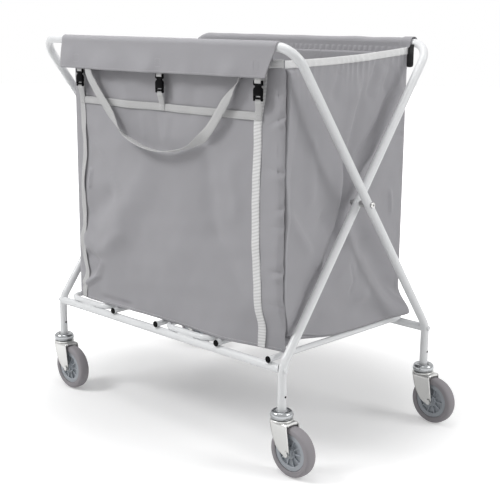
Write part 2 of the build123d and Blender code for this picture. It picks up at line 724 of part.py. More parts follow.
with BuildPart() as tongue:
    # waisted head plate with the web slot
    with BuildSketch(Plane.XZ.offset(-hang_y + buckle_t / 2)):
        with BuildLine():
            half_w = buckle_w / 2
            left = Polyline((-shell_in_w / 2, buckle_z + side_gap / 2), (shell_in_w / 2, buckle_z + side_gap / 2))
            ThreePointArc(left @ 1, (half_w * 0.78, buckle_z + tongue_h * 0.4), (half_w, tongue_top_z - 7))
            Polyline((half_w, tongue_top_z - 7), (half_w, tongue_top_z - 1.5), (half_w - 2, tongue_top_z))
            Line((half_w - 2, tongue_top_z), (2 - half_w, tongue_top_z))
            Polyline((2 - half_w, tongue_top_z), (-half_w, tongue_top_z - 1.5), (-half_w, tongue_top_z - 7))
            ThreePointArc((-half_w, tongue_top_z - 7), (-half_w * 0.78, buckle_z + tongue_h * 0.4), left @ 0)
        make_face()
    extrude(amount=-buckle_t)
    # two sprung prongs with shoulders, and a guide between them
    with BuildSketch(Plane.XZ.offset(-hang_y + prong_t / 2)):
        with Locations((-prong_x, buckle_z - prong_l / 2 + 1), (prong_x, buckle_z - prong_l / 2 + 1)):
            Rectangle(prong_w * 0.6, prong_l)
        with Locations((-prong_x, buckle_z - prong_l * 0.6), (prong_x, buckle_z - prong_l * 0.6)):
            RectangleRounded(prong_w, prong_l * 0.46, 1.0)
        with Locations((0, buckle_z - prong_l * 0.42 + 1)):
            Rectangle(prong_w, prong_l * 0.84)
    extrude(amount=-prong_t)
    with BuildSketch(Plane.XY.offset(tongue_top_z)):
        with Locations((0, hang_y)):
            Rectangle(slot_w, slot_t)
    extrude(amount=-9.0, mode=Mode.SUBTRACT)
    with BuildSketch(Plane.XZ.offset(-hang_y + buckle_t)):
        with Locations((0, tongue_top_z - 7.0)):
            RectangleRounded(slot_w - 2, 4.0, 1.5)
    extrude(amount=-2 * buckle_t, mode=Mode.SUBTRACT)

# the strap leaves the tongue's slot and steps forward to the flap it is sewn to
with BuildPart() as tongue_strap:
    with BuildSketch(Plane.YZ.offset(-web_w / 2)):
        with BuildLine():
            Polyline(
                (hang_y, tongue_top_z - 8.4),
                (hang_y, tongue_top_z + 0.5),
                (sewn_y, tongue_top_z + strap_step),
                (sewn_y, strap_top_z),
            )
        trace(line_width=web_t)
    extrude(amount=web_w)

for x, name in zip(buckle_x, ("left", "middle", "right")):
    save_moved(tongue.part, f"buckle_tongue_{name}", Location((x, 0, 0)))
    save_moved(tongue_strap.part, f"tongue_strap_{name}", Location((x, 0, 0)))

# drooping carrying handle, sewn under the flap at both ends
with BuildPart() as handle:
    with BuildSketch(Plane.XZ.offset(-sewn_y + web_t / 2)):
        with BuildLine():
            span = handle_x[1] - handle_x[0]
            drop = strap_top_z - 30 - handle_low_z
            down_left = Line((handle_x[0], strap_top_z - 4), (handle_x[0], strap_top_z - 30))
            low = (handle_x[0] + span * 0.48, handle_low_z)
            Spline(
                down_left @ 1,
                (handle_x[0] + span * 0.22, handle_low_z + drop * 0.28),
                low,
                (handle_x[0] + span * 0.80, handle_low_z + drop * 0.28),
                (handle_x[1], strap_top_z - 30),
                tangents=[(0.25, -1), (0.1, 1)],
            )
            Line((handle_x[1], strap_top_z - 30), (handle_x[1], strap_top_z - 4))
        trace(line_width=web_w)
    extrude(amount=-web_t)
save(handle.part, "carry_handle")


# black hook-and-loop strap at the rear bar's right end: a ring round the bar and a rounded tail
ring_in = tube_r + hook_gap
tail_y = bag_rear_y + cloth_t + cloth_gap + hook_t / 2
with BuildPart() as hook_strap:
    with BuildSketch(Plane.YZ.offset(hook_x - web_w / 2)):
        with Locations((top_y, top_z)):
            Circle(ring_in + hook_t)
        with Locations((tail_y, (top_z + hook_low_z) / 2)):
            Rectangle(hook_t, top_z - hook_low_z)
        with Locations((top_y, top_z)):
            Circle(ring_in, mode=Mode.SUBTRACT)
    extrude(amount=web_w)
    fillet(hook_strap.edges().filter_by(Axis.Y).group_by(Axis.Z)[0], web_w * 0.3)
save(hook_strap.part, "hook_strap_rear")
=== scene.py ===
"""Folding linen trolley: bag, webbing, moulded and pressed parts, finishes and studio around the
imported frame.

The bag, its flap and sleeve, the webbing, the handle, the buckles, the swivel cups, the forks and
the stitching are surfaces worked out as whole arrays. The tubes, racks, tyres and rims keep their
solids and get their finishes.
"""

import math

import bpy
import numpy as np
from bpy.props import FloatProperty, FloatVectorProperty, PointerProperty
from mathutils import Matrix, Vector


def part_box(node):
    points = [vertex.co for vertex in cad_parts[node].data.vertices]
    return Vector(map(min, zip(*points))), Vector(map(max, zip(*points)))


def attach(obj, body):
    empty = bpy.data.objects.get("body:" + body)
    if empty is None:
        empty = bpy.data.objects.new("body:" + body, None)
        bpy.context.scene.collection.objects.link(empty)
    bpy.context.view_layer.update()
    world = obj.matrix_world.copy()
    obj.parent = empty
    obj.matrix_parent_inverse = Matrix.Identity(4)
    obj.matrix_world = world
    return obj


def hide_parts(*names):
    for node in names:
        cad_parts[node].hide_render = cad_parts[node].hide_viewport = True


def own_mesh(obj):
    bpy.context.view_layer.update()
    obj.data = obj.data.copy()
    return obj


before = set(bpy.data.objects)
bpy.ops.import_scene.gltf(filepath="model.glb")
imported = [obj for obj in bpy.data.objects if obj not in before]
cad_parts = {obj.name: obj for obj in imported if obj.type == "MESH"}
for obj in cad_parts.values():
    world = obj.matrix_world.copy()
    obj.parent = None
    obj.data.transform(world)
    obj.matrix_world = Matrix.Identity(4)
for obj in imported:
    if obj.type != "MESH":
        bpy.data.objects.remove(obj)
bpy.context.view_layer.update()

bl_info = {
    "name": "Folding linen trolley",
    "version": (1, 0, 0),
    "blender": (4, 5, 0),
    "location": "3D View > Sidebar > Trolley",
    "description": "Builds the fabric bag, straps, finishes and studio of a folding linen trolley",
    "category": "Object",
}

MM = 0.001
FRONT, REAR, RIGHT, UP = (0, -1, 0), (0, 1, 0), (1, 0, 0), (0, 0, 1)


def span(node):
    """Lowest and highest corner of a CAD node in millimetres."""
    lo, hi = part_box(node)
    return np.array(lo) / MM, np.array(hi) / MM


def middle(node):
    """Middle of a CAD node's box in millimetres."""
    lo, hi = span(node)
    return (lo + hi) / 2


# ------------------------------------------------------------------ places of the bag, in mm
front_lo, front_hi = span("bag_front")
rear_lo, rear_hi = span("bag_rear")
FRONT_Y = middle("bag_front")[1]
REAR_Y = middle("bag_rear")[1]
TOP_Z = front_hi[2]
LOW_Z = front_lo[2]
LEFT_FRONT_X = front_lo[0] + 12.0
RIGHT_FRONT_X = front_hi[0]
LEFT_REAR_X = rear_lo[0]
RIGHT_REAR_X = rear_hi[0]
SEAM_X = 429.0  # right seam of the front wall
RIM_W = 783.0  # length of the front wall's rim

# the two top bars, and the middle of the cloth that passes round them
BAR_Y = middle("front_flap")[1]
BAR_R = 11.0
BAR_Z = span("outer_frame")[1][2] - BAR_R
BAR_BEND = 55.0
REAR_BEND_X = span("inner_frame")[0][0] + BAR_R + BAR_BEND
CLOTH_R = BAR_R + 1.1
HEM_Z = 935.0
SLEEVE_HEM_Z = span("rear_sleeve")[0][2]
# rows of a cloth over a bar: up to it, round it and down again
UP_ROWS, ROUND_ROWS, DOWN_ROWS = 26, 15, 12

# straps sewn behind the flap, buckles hanging from them, and the band across the wall
SEWN_Y = span("front_flap")[0][1] + front_hi[1] - front_lo[1] + 0.85
HANG_Y = middle("buckle_sockets")[1]
BUCKLES = ("left", "middle", "right")
BUCKLE_X = [middle(f"buckle_tongue_{n}")[0] + aside for n, aside in zip(BUCKLES, (1.0, -1.0, 1.0))]
BUCKLE_Z = span("buckle_sockets")[0][2] + 4.5
STRAP_ASIDE = (-15.0, -8.5, -11.0)
BAND_Z = 849.5
WEB_W, STRAP_W, BAND_W = 25.0, 20.0, 19.0
WEB_T = 1.5
# length of a stitch, and thickness of its thread
STITCH, THREAD = 2.8, 0.7

# foot of the legs, inside the swivel cups, and the legs' cross holes
FOOT_Z = span("caster_fl_head")[0][2] + 24.9
HOLE_Z = 192.0


# ------------------------------------------------------------------ fold and surface formulas
def smooth(x):
    """Soft step: 0 below 0, 1 above 1, three x squared minus two x cubed between."""
    x = np.clip(x, 0.0, 1.0)
    return x * x * (3 - 2 * x)


def bell(x, width):
    """Bell curve of height 1: e to the minus (x over width) squared."""
    return np.exp(-((np.asarray(x) / width) ** 2))


def fold(p, q, start, end, width, height, skew=1.0, taper=0.35):
    """One soft fold on a panel: a bell across the line from start to end, wider by skew on its
    left side, and faded in and out over the taper share of its length."""
    dx, dy = end[0] - start[0], end[1] - start[1]
    length = math.hypot(dx, dy)
    along = ((p - start[0]) * dx + (q - start[1]) * dy) / length**2
    across = ((q - start[1]) * dx - (p - start[0]) * dy) / length
    side = np.where(across > 0, width * skew, width)
    ends = smooth(along / taper + 0.5) * smooth((1 - along) / taper + 0.5)
    return height * np.exp(-((across / side) ** 2)) * ends


def drift(p, q, size, height, seed):
    """Slow unevenness of cloth: eight cosine waves of about the given size, with seeded
    directions and phases, added and scaled to the height."""
    rng = np.random.default_rng(seed)
    total = 0.0
    for _ in range(8):
        angle, phase = rng.uniform(0, 2 * math.pi, 2)
        k = 2 * math.pi / (size * rng.uniform(0.7, 1.7))
        total = total + np.cos(k * (p * math.cos(angle) + q * math.sin(angle)) + phase)
    return height * total / 4.0


def folds(p, q, table):
    """All the folds of a panel added up."""
    return sum(fold(p, q, *row) for row in table)


# start, end, width, height and, where it isn't 1, skew; across the panel and up, outward positive
FRONT_FOLDS = (
    ((-20, 690), (-215, 470), 46, 6.5, 1.2),
    ((-180, 605), (-300, 530), 34, -4.5),
    ((-135, 505), (-236, 432), 22, 3.8, 1.2),
    ((-236, 432), (-320, 470), 20, 4.0, 1.2),
    ((-245, 405), (-310, 420), 16, -4.0),
    ((-241, 405), (-262, 360), 9, 3.5, 0.8),
    ((-262, 362), (-322, 328), 9, 4.5, 0.8),
    ((183, 735), (208, 548), 28, -3.2),
    ((206, 565), (305, 415), 30, -3.2),
    ((100, 700), (110, 470), 60, 1.6),
    ((262, 740), (290, 600), 22, 2.2),
    ((-270, 750), (-128, 595), 4, 0.8),
    ((-284, 660), (-290, 610), 7, 2.2),
    ((-60, 830), (-50, 765), 8, 1.3),
    ((-12, 835), (5, 750), 8, -1.3),
    ((42, 835), (32, 770), 9, 1.1),
    ((-250, 303), (-130, 300), 9, -3.0),
    ((150, 930), (110, 820), 22, -1.6),
    ((-150, 930), (-110, 830), 26, 1.6),
)
# height, lean, strength and reach of the pleats pinched into the front wall's right seam
PLEATS = (
    (905, 0.20, 0.5, 34),
    (852, 0.42, 1.2, 62),
    (826, 0.00, 0.5, 26),
    (725, -0.17, 1.1, 60),
    (642, 0.22, 0.8, 30),
    (598, 0.02, 0.6, 46),
    (497, 0.33, 0.9, 46),
    (489, -0.10, 0.8, 62),
    (408, -0.04, 0.9, 60),
    (350, 0.10, 0.5, 34),
)
RIGHT_FOLDS = (
    ((66, 905), (10, 745), 15, -6.5, 1.6),
    ((34, 905), (-22, 745), 20, 5.0, 0.6),
    ((0, 735), (-24, 560), 15, -13.0, 1.4),
    ((-24, 580), (-95, 480), 18, -8.0, 1.5),
    ((-32, 725), (-54, 565), 24, 6.0, 0.6),
    ((-58, 575), (-112, 478), 24, 5.0, 0.6),
    ((238, 888), (60, 705), 13, 8.0, 0.8),
    ((208, 884), (30, 715), 12, -5.0),
    ((-152, 785), (-156, 640), 26, 4.5, 0.7),
    ((214, 778), (262, 772), 5, -3.0),
    ((205, 628), (212, 570), 8, 3.0),
    ((36, 615), (100, 485), 36, -8.0),
    ((90, 512), (250, 320), 33, -10.0, 1.2),
    ((-30, 470), (80, 365), 46, 8.0),
    ((60, 382), (285, 292), 32, 9.0),
    ((8, 545), (20, 450), 26, 4.0),
    ((-240, 625), (-150, 520), 20, 5.0, 0.7),
    ((-112, 602), (-70, 570), 18, -4.0),
    ((4, 465), (30, 420), 5, -2.2, 1.4),
    ((30, 422), (14, 388), 5, -1.8),
    ((225, 352), (290, 292), 7, 3.0),
    ((120, 955), (84, 880), 12, -3.6, 1.2),
    ((152, 950), (112, 880), 12, 3.2),
    ((190, 950), (162, 892), 11, -3.0),
    ((216, 945), (236, 880), 10, 2.4),
    ((-40, 950), (-64, 880), 16, -3.0),
    ((-170, 470), (-100, 330), 40, -3.5),
)
LEFT_FOLDS = (
    ((-180, 930), (-60, 720), 34, 8.0, 0.6),
    ((40, 950), (90, 760), 26, -7.0, 1.2),
    ((150, 930), (60, 640), 34, 9.0, 0.5),
    ((-120, 700), (40, 480), 40, 8.0, 0.7),
    ((200, 820), (140, 560), 30, -7.0),
    ((60, 560), (200, 330), 34, -8.0, 1.2),
    ((-200, 560), (-120, 360), 34, 7.0, 0.8),
    ((-60, 420), (40, 320), 26, 5.0),
)
REAR_FOLDS = (
    ((-260, 930), (-180, 640), 44, 6.0, 0.7),
    ((-60, 900), (-120, 600), 50, -5.0),
    ((120, 940), (60, 650), 44, 6.0, 0.6),
    ((280, 860), (200, 560), 50, -5.0, 1.1),
    ((-200, 560), (-20, 380), 50, 5.0, 0.8),
    ((60, 540), (230, 360), 46, 5.0, 0.8),
    ((-330, 420), (-260, 320), 26, 5.0),
    ((320, 420), (270, 320), 26, 5.0),
)


def under(z):
    """How far the lower bag has turned under: 0 above 440 mm, 1 at the racks."""
    return smooth((440 - z) / 150)


def recess(x):
    """Inset of the front wall's lower edge: least at the left, most at the right corner."""
    return 4 + 10 * bell(x - 10, 130) + 34 * smooth((x - 215) / 205)


def pleats(x, z):
    """Height of the pleats: a sharp valley, e to the minus distance over 7 mm, between two bells.
    Each starts its reach away from the seam and fades over the last 8 mm before it."""
    total = 0.0
    for at, lean, strength, reach in PLEATS:
        here = np.clip((x - SEAM_X + reach) / reach, 0, 1) ** 1.6 * smooth((SEAM_X + 5 - x) / 8)
        off = z - at - lean * (x - SEAM_X)
        shape = bell(off + 15, 11) - 1.35 * np.exp(-np.abs(off) / 7) + 0.6 * bell(off - 18, 12)
        total = total + strength * here * shape
    return total


def front_y(x, z, plain=False):
    """Depth of the front wall at (x, z): its hanging plane, turned under at the foot, rounded
    back by a parabola at the left corner, with a broad billow. Unless it is plain, the folds and
    pleats stand on it, and its right edge turns back as a quarter of an ellipse."""
    y = FRONT_Y + recess(x) * under(z) + 9 * np.clip((-296 - x) / 60, 0, 1.3) ** 2
    s = np.clip((x - LEFT_FRONT_X) / (RIGHT_FRONT_X - LEFT_FRONT_X), 0, 1)
    t = np.clip((z - LOW_Z) / (TOP_Z - LOW_Z), 0, 1)
    y = y - 6.5 * np.sin(math.pi * s) ** 0.8 * np.sin(math.pi * t**0.8) ** 1.2
    if plain:
        return y
    held = smooth((RIGHT_FRONT_X - x) / 10) * smooth((x - LEFT_FRONT_X) / 25)
    held = held * smooth((TOP_Z - z) / 60)
    body = folds(x, z, FRONT_FOLDS) + drift(x, z, 210, 1.3, 3) + drift(x, z, 70, 0.35, 5)
    turned = np.clip((x - SEAM_X + 25) / 27, 0, 0.97)
    edge = 8 * (1 - np.sqrt(1 - turned**2)) * smooth((TOP_Z - 20 - z) / 20)
    return y - 2.2 * body * held - 3.4 * pleats(x, z) + edge


def corner(name, z):
    """Plan place of one of the bag's four upright corners at height z."""
    if name == "fr":
        x = RIGHT_FRONT_X + 0.5 - 18 * smooth((405 - z) / 115)
        return x, front_y(x, z, plain=True)
    if name == "fl":
        x = LEFT_FRONT_X - 3 - 11 * smooth((430 - z) / 140)
        return x, front_y(x, z, plain=True)
    if name == "rr":
        flare = smooth((366 - z) / 84)
        return RIGHT_REAR_X + 27 * flare**1.3, REAR_Y - 1 + 20 * flare**1.6
    return LEFT_REAR_X - 1 + 14 * smooth((500 - z) / 210), REAR_Y - 1 + 8 * smooth((345 - z) / 60)


def front_top(x):
    """Rim of the front wall, a little lower away from the right corner."""
    return TOP_Z - 7.5 + 3.5 * smooth((x - 360) / 70)


def right_low(s):
    """Lower edge of the right wall: lifted at the front corner, dropping to the rear one."""
    return 287.0 + 38 * bell(s, 0.2) - 5 * smooth((s - 0.72) / 0.28)


def right_top(s):
    """Rim of the right wall, drawn up towards the rear bar."""
    return TOP_Z - 6 + 20 * s**2


def left_low(s):
    """Lower edge of the left wall, dropping a little to the rear corner."""
    return 288.0 - 3 * smooth((s - 0.6) / 0.4) + 5 * bell(s, 0.1)


def left_top(s):
    """Rim of the left wall, drawn up towards the rear bar."""
    return TOP_Z - 6 + 14 * s**2


def rear_low(s):
    """Lower edge of the rear wall, from the left wall's to the right wall's."""
    return left_low(1.0) + (right_low(1.0) - left_low(1.0)) * smooth((s - 0.9) / 0.1)


def gathers(y, down, strength):
    """Small gathers below a bound rim: rounded waves with an uneven pitch of about 25 mm that
    die out over 40 mm down, each with its own depth."""
    phase = 2 * math.pi * (y / 25.0 + 0.3 * np.sin(y / 41.0) + 0.12 * np.sin(y / 23.0 + 1.0))
    depth = 0.6 + 0.4 * np.sin(y / 37.0 + 0.7)
    reach = 30 + 14 * np.sin(y / 33.0)
    return strength * depth * (0.5 + 0.5 * np.sin(phase)) ** 1.5 * np.exp(-np.clip(down, 0, None) / reach)


def side_wall(s, z, right):
    """Point of a side wall: the straight line between its two corners at height z, pushed
    outward by its folds, gathers and sag, and drawn in at the foot near the front corner."""
    ax, ay = corner("fr" if right else "fl", z)
    bx, by = corner("rr" if right else "rl", z)
    x, y = ax + (bx - ax) * s, ay + (by - ay) * s
    out = 1.0 if right else -1.0
    held = smooth(s / 0.035) * smooth((1 - s) / 0.03)
    top = right_top(s) if right else left_top(s)
    table = RIGHT_FOLDS if right else LEFT_FOLDS
    seed = 11 if right else 17
    body = folds(y, z, table) + drift(y, z, 150, 2.0, seed) + drift(y, z, 55, 0.5, seed + 1)
    push = 1.6 * body * held * smooth((top - z) / 34)
    push = push + gathers(y, top - 20 - z, 1.8 + 4.0 * smooth(s / 0.7)) * held * smooth((top - z) / 10)
    push = push - (26 if right else 8) * bell(s - 0.17, 0.13) * smooth((370 - z) / 80)
    # the front corner's seam lies in a narrow groove, and the cloth falls away from its shoulder
    below = smooth((top - 19 - z) / 9)
    if right:
        crease = np.interp(z, [300, 600, 700, 820, 920], [-244, -240, -232, -214, -200])
        push = push - 14 * (1 - smooth((s - 0.0205) / 0.0045)) * below
        push = push + 7 * np.clip((crease - y) / (crease + 253), 0, 1) * smooth((s - 0.02) / 0.012) * below
    else:
        push = push - 4 * bell(s, 0.013)
    return x + out * push, y, z


def front_place(s, z):
    """Point of the front wall at share s from left to right, with its right edge standing a
    little proud of the side wall's seam."""
    xl, xr = corner("fl", z)[0], corner("fr", z)[0] + 4.0
    x = xl + (xr - xl) * s
    return x, front_y(x, z), z


def rear_place(s, z):
    """Point of the rear wall at share s from left to right: the line between its corners with
    the folds pushed outward."""
    (xl, yl), (xr, yr) = corner("rl", z), corner("rr", z)
    x = xl + (xr - xl) * s
    body = folds(x, z, REAR_FOLDS) + drift(x, z, 190, 2.0, 23) + drift(x, z, 60, 0.5, 24)
    held = smooth(s / 0.04) * smooth((1 - s) / 0.04) * smooth((TOP_Z - z) / 60)
    return x, yl + (yr - yl) * s + body * held, z


# ------------------------------------------------------------------ grids, skins and pieces
def grid(x, y, z):
    """Points from coordinates whose shapes go together."""
    return np.stack(np.broadcast_arrays(x, y, z), -1)


def unit(v):
    """Directions of length one."""
    return v / np.linalg.norm(v, axis=-1, keepdims=True)


def spread(*parts):
    """Grid lines from (start, end, count) runs, joined without repeats."""
    return np.unique(np.concatenate([np.linspace(*p) for p in parts]).round(5))


def lengths(points, axis):
    """Running length along one axis of a grid of points."""
    step = np.linalg.norm(np.diff(points, axis=axis), axis=-1)
    start = np.zeros_like(np.take(step, [0], axis=axis))
    return np.concatenate([start, np.cumsum(step, axis=axis)], axis=axis)


def new_piece(name, points, faces, uv=None, rounded=True):
    """A piece from points in mm, its faces and, where it has one, a UV pair in mm for each
    corner of each face."""
    mesh = bpy.data.meshes.new(name)
    mesh.from_pydata((points.reshape(-1, 3) * MM).tolist(), [], faces)
    if uv is not None:
        layer = mesh.uv_layers.new(name="Cloth")
        layer.data.foreach_set("uv", (uv * MM).astype(np.float32).ravel())
    mesh.polygons.foreach_set("use_smooth", np.full(len(faces), rounded))
    mesh.update()
    piece = bpy.data.objects.new(name, mesh)
    bpy.context.scene.collection.objects.link(piece)
    return piece


def sheet_mesh(name, points, flat):
    """Piece of quads through a grid of points (rows, columns, 3), with the flat cloth's own
    lengths as its UV map. Rows run along the first axis."""
    rows, columns = points.shape[:2]
    a = np.arange(rows * columns).reshape(rows, columns)
    quads = np.stack([a[:-1, :-1], a[1:, :-1], a[1:, 1:], a[:-1, 1:]], -1).reshape(-1, 4)
    return new_piece(name, points, quads.tolist(), flat.reshape(-1, 2)[quads.ravel()])


def thicken(piece, thickness):
    """Gives a sheet its thickness, half to each side."""
    solid = piece.modifiers.new("Cloth thickness", "SOLIDIFY")
    solid.thickness = thickness
    solid.offset = 0.0
    solid.use_even_offset = False
    return piece


def skin(rings, uv=None):
    """Closed skin over rings of points: quads from ring to ring and a face at each end."""
    n, k = rings.shape[:2]
    a = np.arange(n * k).reshape(n, k)
    b = np.roll(a, -1, axis=1)
    quads = np.stack([a[:-1], a[1:], b[1:], b[:-1]], -1).reshape(-1, 4)
    points = rings.reshape(-1, 3)
    return points, quads, [a[0], a[-1][::-1]], points[:, :2] if uv is None else uv


def tape(line, across, width=WEB_W, thickness=WEB_T):
    """Woven tape: a flat section with rounded edges carried along a line of points. At each
    station the section spans the across direction, and its thickness lies square to that and
    to the line. Both ends are closed. The UV map runs along and across the tape."""
    line, across = np.asarray(line, float), np.broadcast_to(np.asarray(across, float), (len(line), 3))
    along = unit(np.gradient(line, axis=0))
    across = unit(across - (across * along).sum(1, keepdims=True) * along)
    face = np.cross(along, across)
    h, t = width / 2, thickness / 2
    e = min(0.7, h / 4)
    low = np.array([(-h, -t * 0.4), (-h + e, -t), (-h / 3, -t), (h / 3, -t), (h - e, -t), (h, -t * 0.4)])
    section = np.concatenate([low, -low])
    rings = line[:, None] + section[None, :, :1] * across[:, None] + section[None, :, 1:] * face[:, None]
    uv = np.stack([np.repeat(lengths(line, 0), len(section)), np.tile(section[:, 0], len(line))], -1)
    return skin(rings, uv)


def moulding(x, y, z, rows, side=1.0):
    """Moulded bar standing up, from rows of height, distance aside, half width and half depth: at
    each height a superellipse of power four, which is a rectangle with rounded corners. A side
    of minus one sets it as far to the left."""
    up, aside, half_x, half_y = np.array(rows, float).T[..., None]
    turn = np.linspace(0, 2 * math.pi, 28, endpoint=False)
    c, s = np.cos(turn), np.sin(turn)
    px = x + side * aside + half_x * np.sign(c) * np.abs(c) ** 0.5
    py = y + half_y * np.sign(s) * np.abs(s) ** 0.5
    return skin(grid(px, py, z + up)[:, ::-1])


def lathe(profile, at, axis="Z"):
    """Skin turned about an upright axis, or about Y for a wheel, from pairs of radius and
    distance along the axis, given from the low end to the high one."""
    turn = np.linspace(0, 2 * math.pi, 56, endpoint=False)[None, ::-1]
    radius, along = np.array(profile, float).T[..., None]
    c, s = radius * np.cos(turn), radius * np.sin(turn)
    return skin((grid(c, s, along) if axis == "Z" else grid(s, along, c)) + np.array(at))


def joined(name, *skins, rounded=True):
    """One piece from several skins."""
    points, faces, corners, base = [], [], [], 0
    for rings, quads, ends, uv in skins:
        faces += (quads + base).tolist() + [(e + base).tolist() for e in ends]
        corners.append(uv[np.concatenate([quads.ravel(), *ends])])
        points.append(rings)
        base += len(rings)
    return new_piece(name, np.concatenate(points), faces, np.concatenate(corners), rounded)


def curve_through(knots, count):
    """Smooth line through a few knots: cubic Hermite pieces whose slopes come from the
    neighbouring knots, sampled evenly along the whole."""
    knots = np.asarray(knots, float)
    run = np.concatenate([[0], np.cumsum(np.linalg.norm(np.diff(knots, axis=0), axis=1))])
    slope = np.gradient(knots, run, axis=0)
    at = np.linspace(0, run[-1], count)
    i = np.clip(np.searchsorted(run, at, side="right") - 1, 0, len(run) - 2)
    h = (run[i + 1] - run[i])[:, None]
    u = ((at - run[i]) / (run[i + 1] - run[i]))[:, None]
    return (
        (2 * u**3 - 3 * u**2 + 1) * knots[i]
        + (u**3 - 2 * u**2 + u) * h * slope[i]
        + (3 * u**2 - 2 * u**3) * knots[i + 1]
        + (u**3 - u**2) * h * slope[i + 1]
    )


def stitches(name, runs, pitch):
    """Rows of sewing thread. Each run is (line of points, outward direction). Every stitch is a
    short bar of ten faces, set at even steps along its line and sunk at both ends."""
    starts, ends, outs = [], [], []
    for line, out in runs:
        run = lengths(line, 0)
        count = max(2, int(run[-1] / pitch))
        at = (np.arange(count) + 0.5) * run[-1] / count
        for offset, store in ((-STITCH / 2, starts), (STITCH / 2, ends)):
            store.append(np.stack([np.interp(at + offset, run, line[:, c]) for c in range(3)], -1))
        outs.append(np.broadcast_to(np.asarray(out, float), (count, 3)))
    a, b, out = np.concatenate(starts), np.concatenate(ends), unit(np.concatenate(outs))
    h = THREAD / 2
    side = unit(np.cross(b - a, out)) * h
    mid = (a + b) / 2 + out * h * 0.9
    steps = (out * h * -1.1, side, out * h, -side)
    rings = np.stack([at + step for at in (a, mid, b) for step in steps], 1)
    quads = [(r + i, r + (i + 1) % 4, r + (i + 1) % 4 + 4, r + i + 4) for r in (0, 4) for i in range(4)]
    quads = np.array(quads + [(3, 2, 1, 0), (8, 9, 10, 11)])
    faces = (np.arange(len(rings))[:, None, None] * rings.shape[1] + quads[None]).reshape(-1, 4)
    return new_piece(name, rings, faces.tolist(), rounded=False)


# ------------------------------------------------------------------ finishes
def place(tree, kind, inputs=None, **settings):
    """Adds a node, with its settings, and fills its inputs with values or with links."""
    node = tree.nodes.new(kind)
    for key, value in settings.items():
        setattr(node, key, value)
    for key, value in (inputs or {}).items():
        if isinstance(value, bpy.types.NodeSocket):
            tree.links.new(value, node.inputs[key])
        else:
            node.inputs[key].default_value = value
    return node


def calc(tree, operation, a, b=0.0, c=0.0):
    """Result of a Math node."""
    return place(tree, "ShaderNodeMath", {0: a, 1: b, 2: c}, operation=operation).outputs[0]


def effect(name, build, **inputs):
    """A shader node group with these inputs, and Color, Roughness and Height coming out."""
    tree = bpy.data.node_groups.new(name, "ShaderNodeTree")
    for way, key, kind in (
        ("INPUT", "Vector", "Vector"),
        ("INPUT", "Color", "Color"),
        ("OUTPUT", "Color", "Color"),
        ("OUTPUT", "Roughness", "Float"),
        ("OUTPUT", "Height", "Float"),
    ):
        tree.interface.new_socket(key, in_out=way, socket_type=f"NodeSocket{kind}")
    for key, value in inputs.items():
        socket = tree.interface.new_socket(key, in_out="INPUT", socket_type="NodeSocketFloat")
        socket.default_value = value
    given = tree.nodes.new("NodeGroupInput").outputs
    color, roughness, height = build(tree, given)
    place(tree, "NodeGroupOutput", {"Color": color, "Roughness": roughness, "Height": height})
    return tree


def shade(tree, color, by):
    """A colour or vector multiplied by another or by a grey value."""
    return place(tree, "ShaderNodeVectorMath", {0: color, 1: by}, operation="MULTIPLY").outputs[0]


def noise(tree, vector, scale, detail=2.0):
    """Value of a noise texture."""
    given = {"Vector": vector, "Scale": scale, "Detail": detail}
    return place(tree, "ShaderNodeTexNoise", given).outputs[0]


def stretched(tree, vector, along, across):
    """A pattern's coordinates, stretched so many times per metre along and across."""
    return shade(tree, vector, (along, across, 1.0))


def about_half(tree, value, strength, base):
    """A value's departure from a half, times a strength, on top of a base."""
    return calc(tree, "MULTIPLY_ADD", calc(tree, "SUBTRACT", value, 0.5), strength, base)


def ridges(tree, distance):
    """Absolute sine, one ridge for each whole distance."""
    return calc(tree, "ABSOLUTE", calc(tree, "SINE", calc(tree, "MULTIPLY", distance, math.pi)))


def plain_weave_painted_shade(tree, given):
    """Over and under of a plain weave: where whole thread counts u and v add up even, the warp
    shows as the absolute sine of u, elsewhere the weft as that of v, and the tone is a tenth
    darker between the threads as painted shade. Slubs, fibre and broad mottling are noise
    stretched along, unstretched and slow."""
    per_thread = calc(tree, "DIVIDE", 1.0, given["Pitch"])
    scaled = {0: given["Vector"], "Scale": per_thread}
    counts = place(tree, "ShaderNodeVectorMath", scaled, operation="SCALE").outputs[0]
    u, v = place(tree, "ShaderNodeSeparateXYZ", {0: counts}).outputs[:2]
    whole = calc(tree, "ADD", calc(tree, "FLOOR", u), calc(tree, "FLOOR", v))
    even = calc(tree, "PINGPONG", whole, 1.0)
    thread = place(tree, "ShaderNodeMix", {0: even, 2: ridges(tree, u), 3: ridges(tree, v)}).outputs[0]
    slub_a = noise(tree, stretched(tree, given["Vector"], 60.0, 1500.0), 1.0)
    slub_b = noise(tree, stretched(tree, given["Vector"], 1500.0, 60.0), 1.0)
    broad = noise(tree, given["Vector"], 11.0, 4.0)
    slubs = calc(tree, "MULTIPLY", calc(tree, "ADD", slub_a, slub_b), given["Slubs"])
    # painted shade: the tone falls by a tenth between the threads
    tone = calc(tree, "ADD", calc(tree, "MULTIPLY_ADD", thread, 0.10, 0.93), slubs)
    tone = calc(tree, "SUBTRACT", tone, given["Slubs"])
    tone = about_half(tree, broad, given["Mottling"], tone)
    rough = calc(tree, "MULTIPLY_ADD", broad, 0.12, 0.80)
    return shade(tree, given["Color"], tone), rough, calc(tree, "MULTIPLY_ADD", slub_a, 0.35, thread)


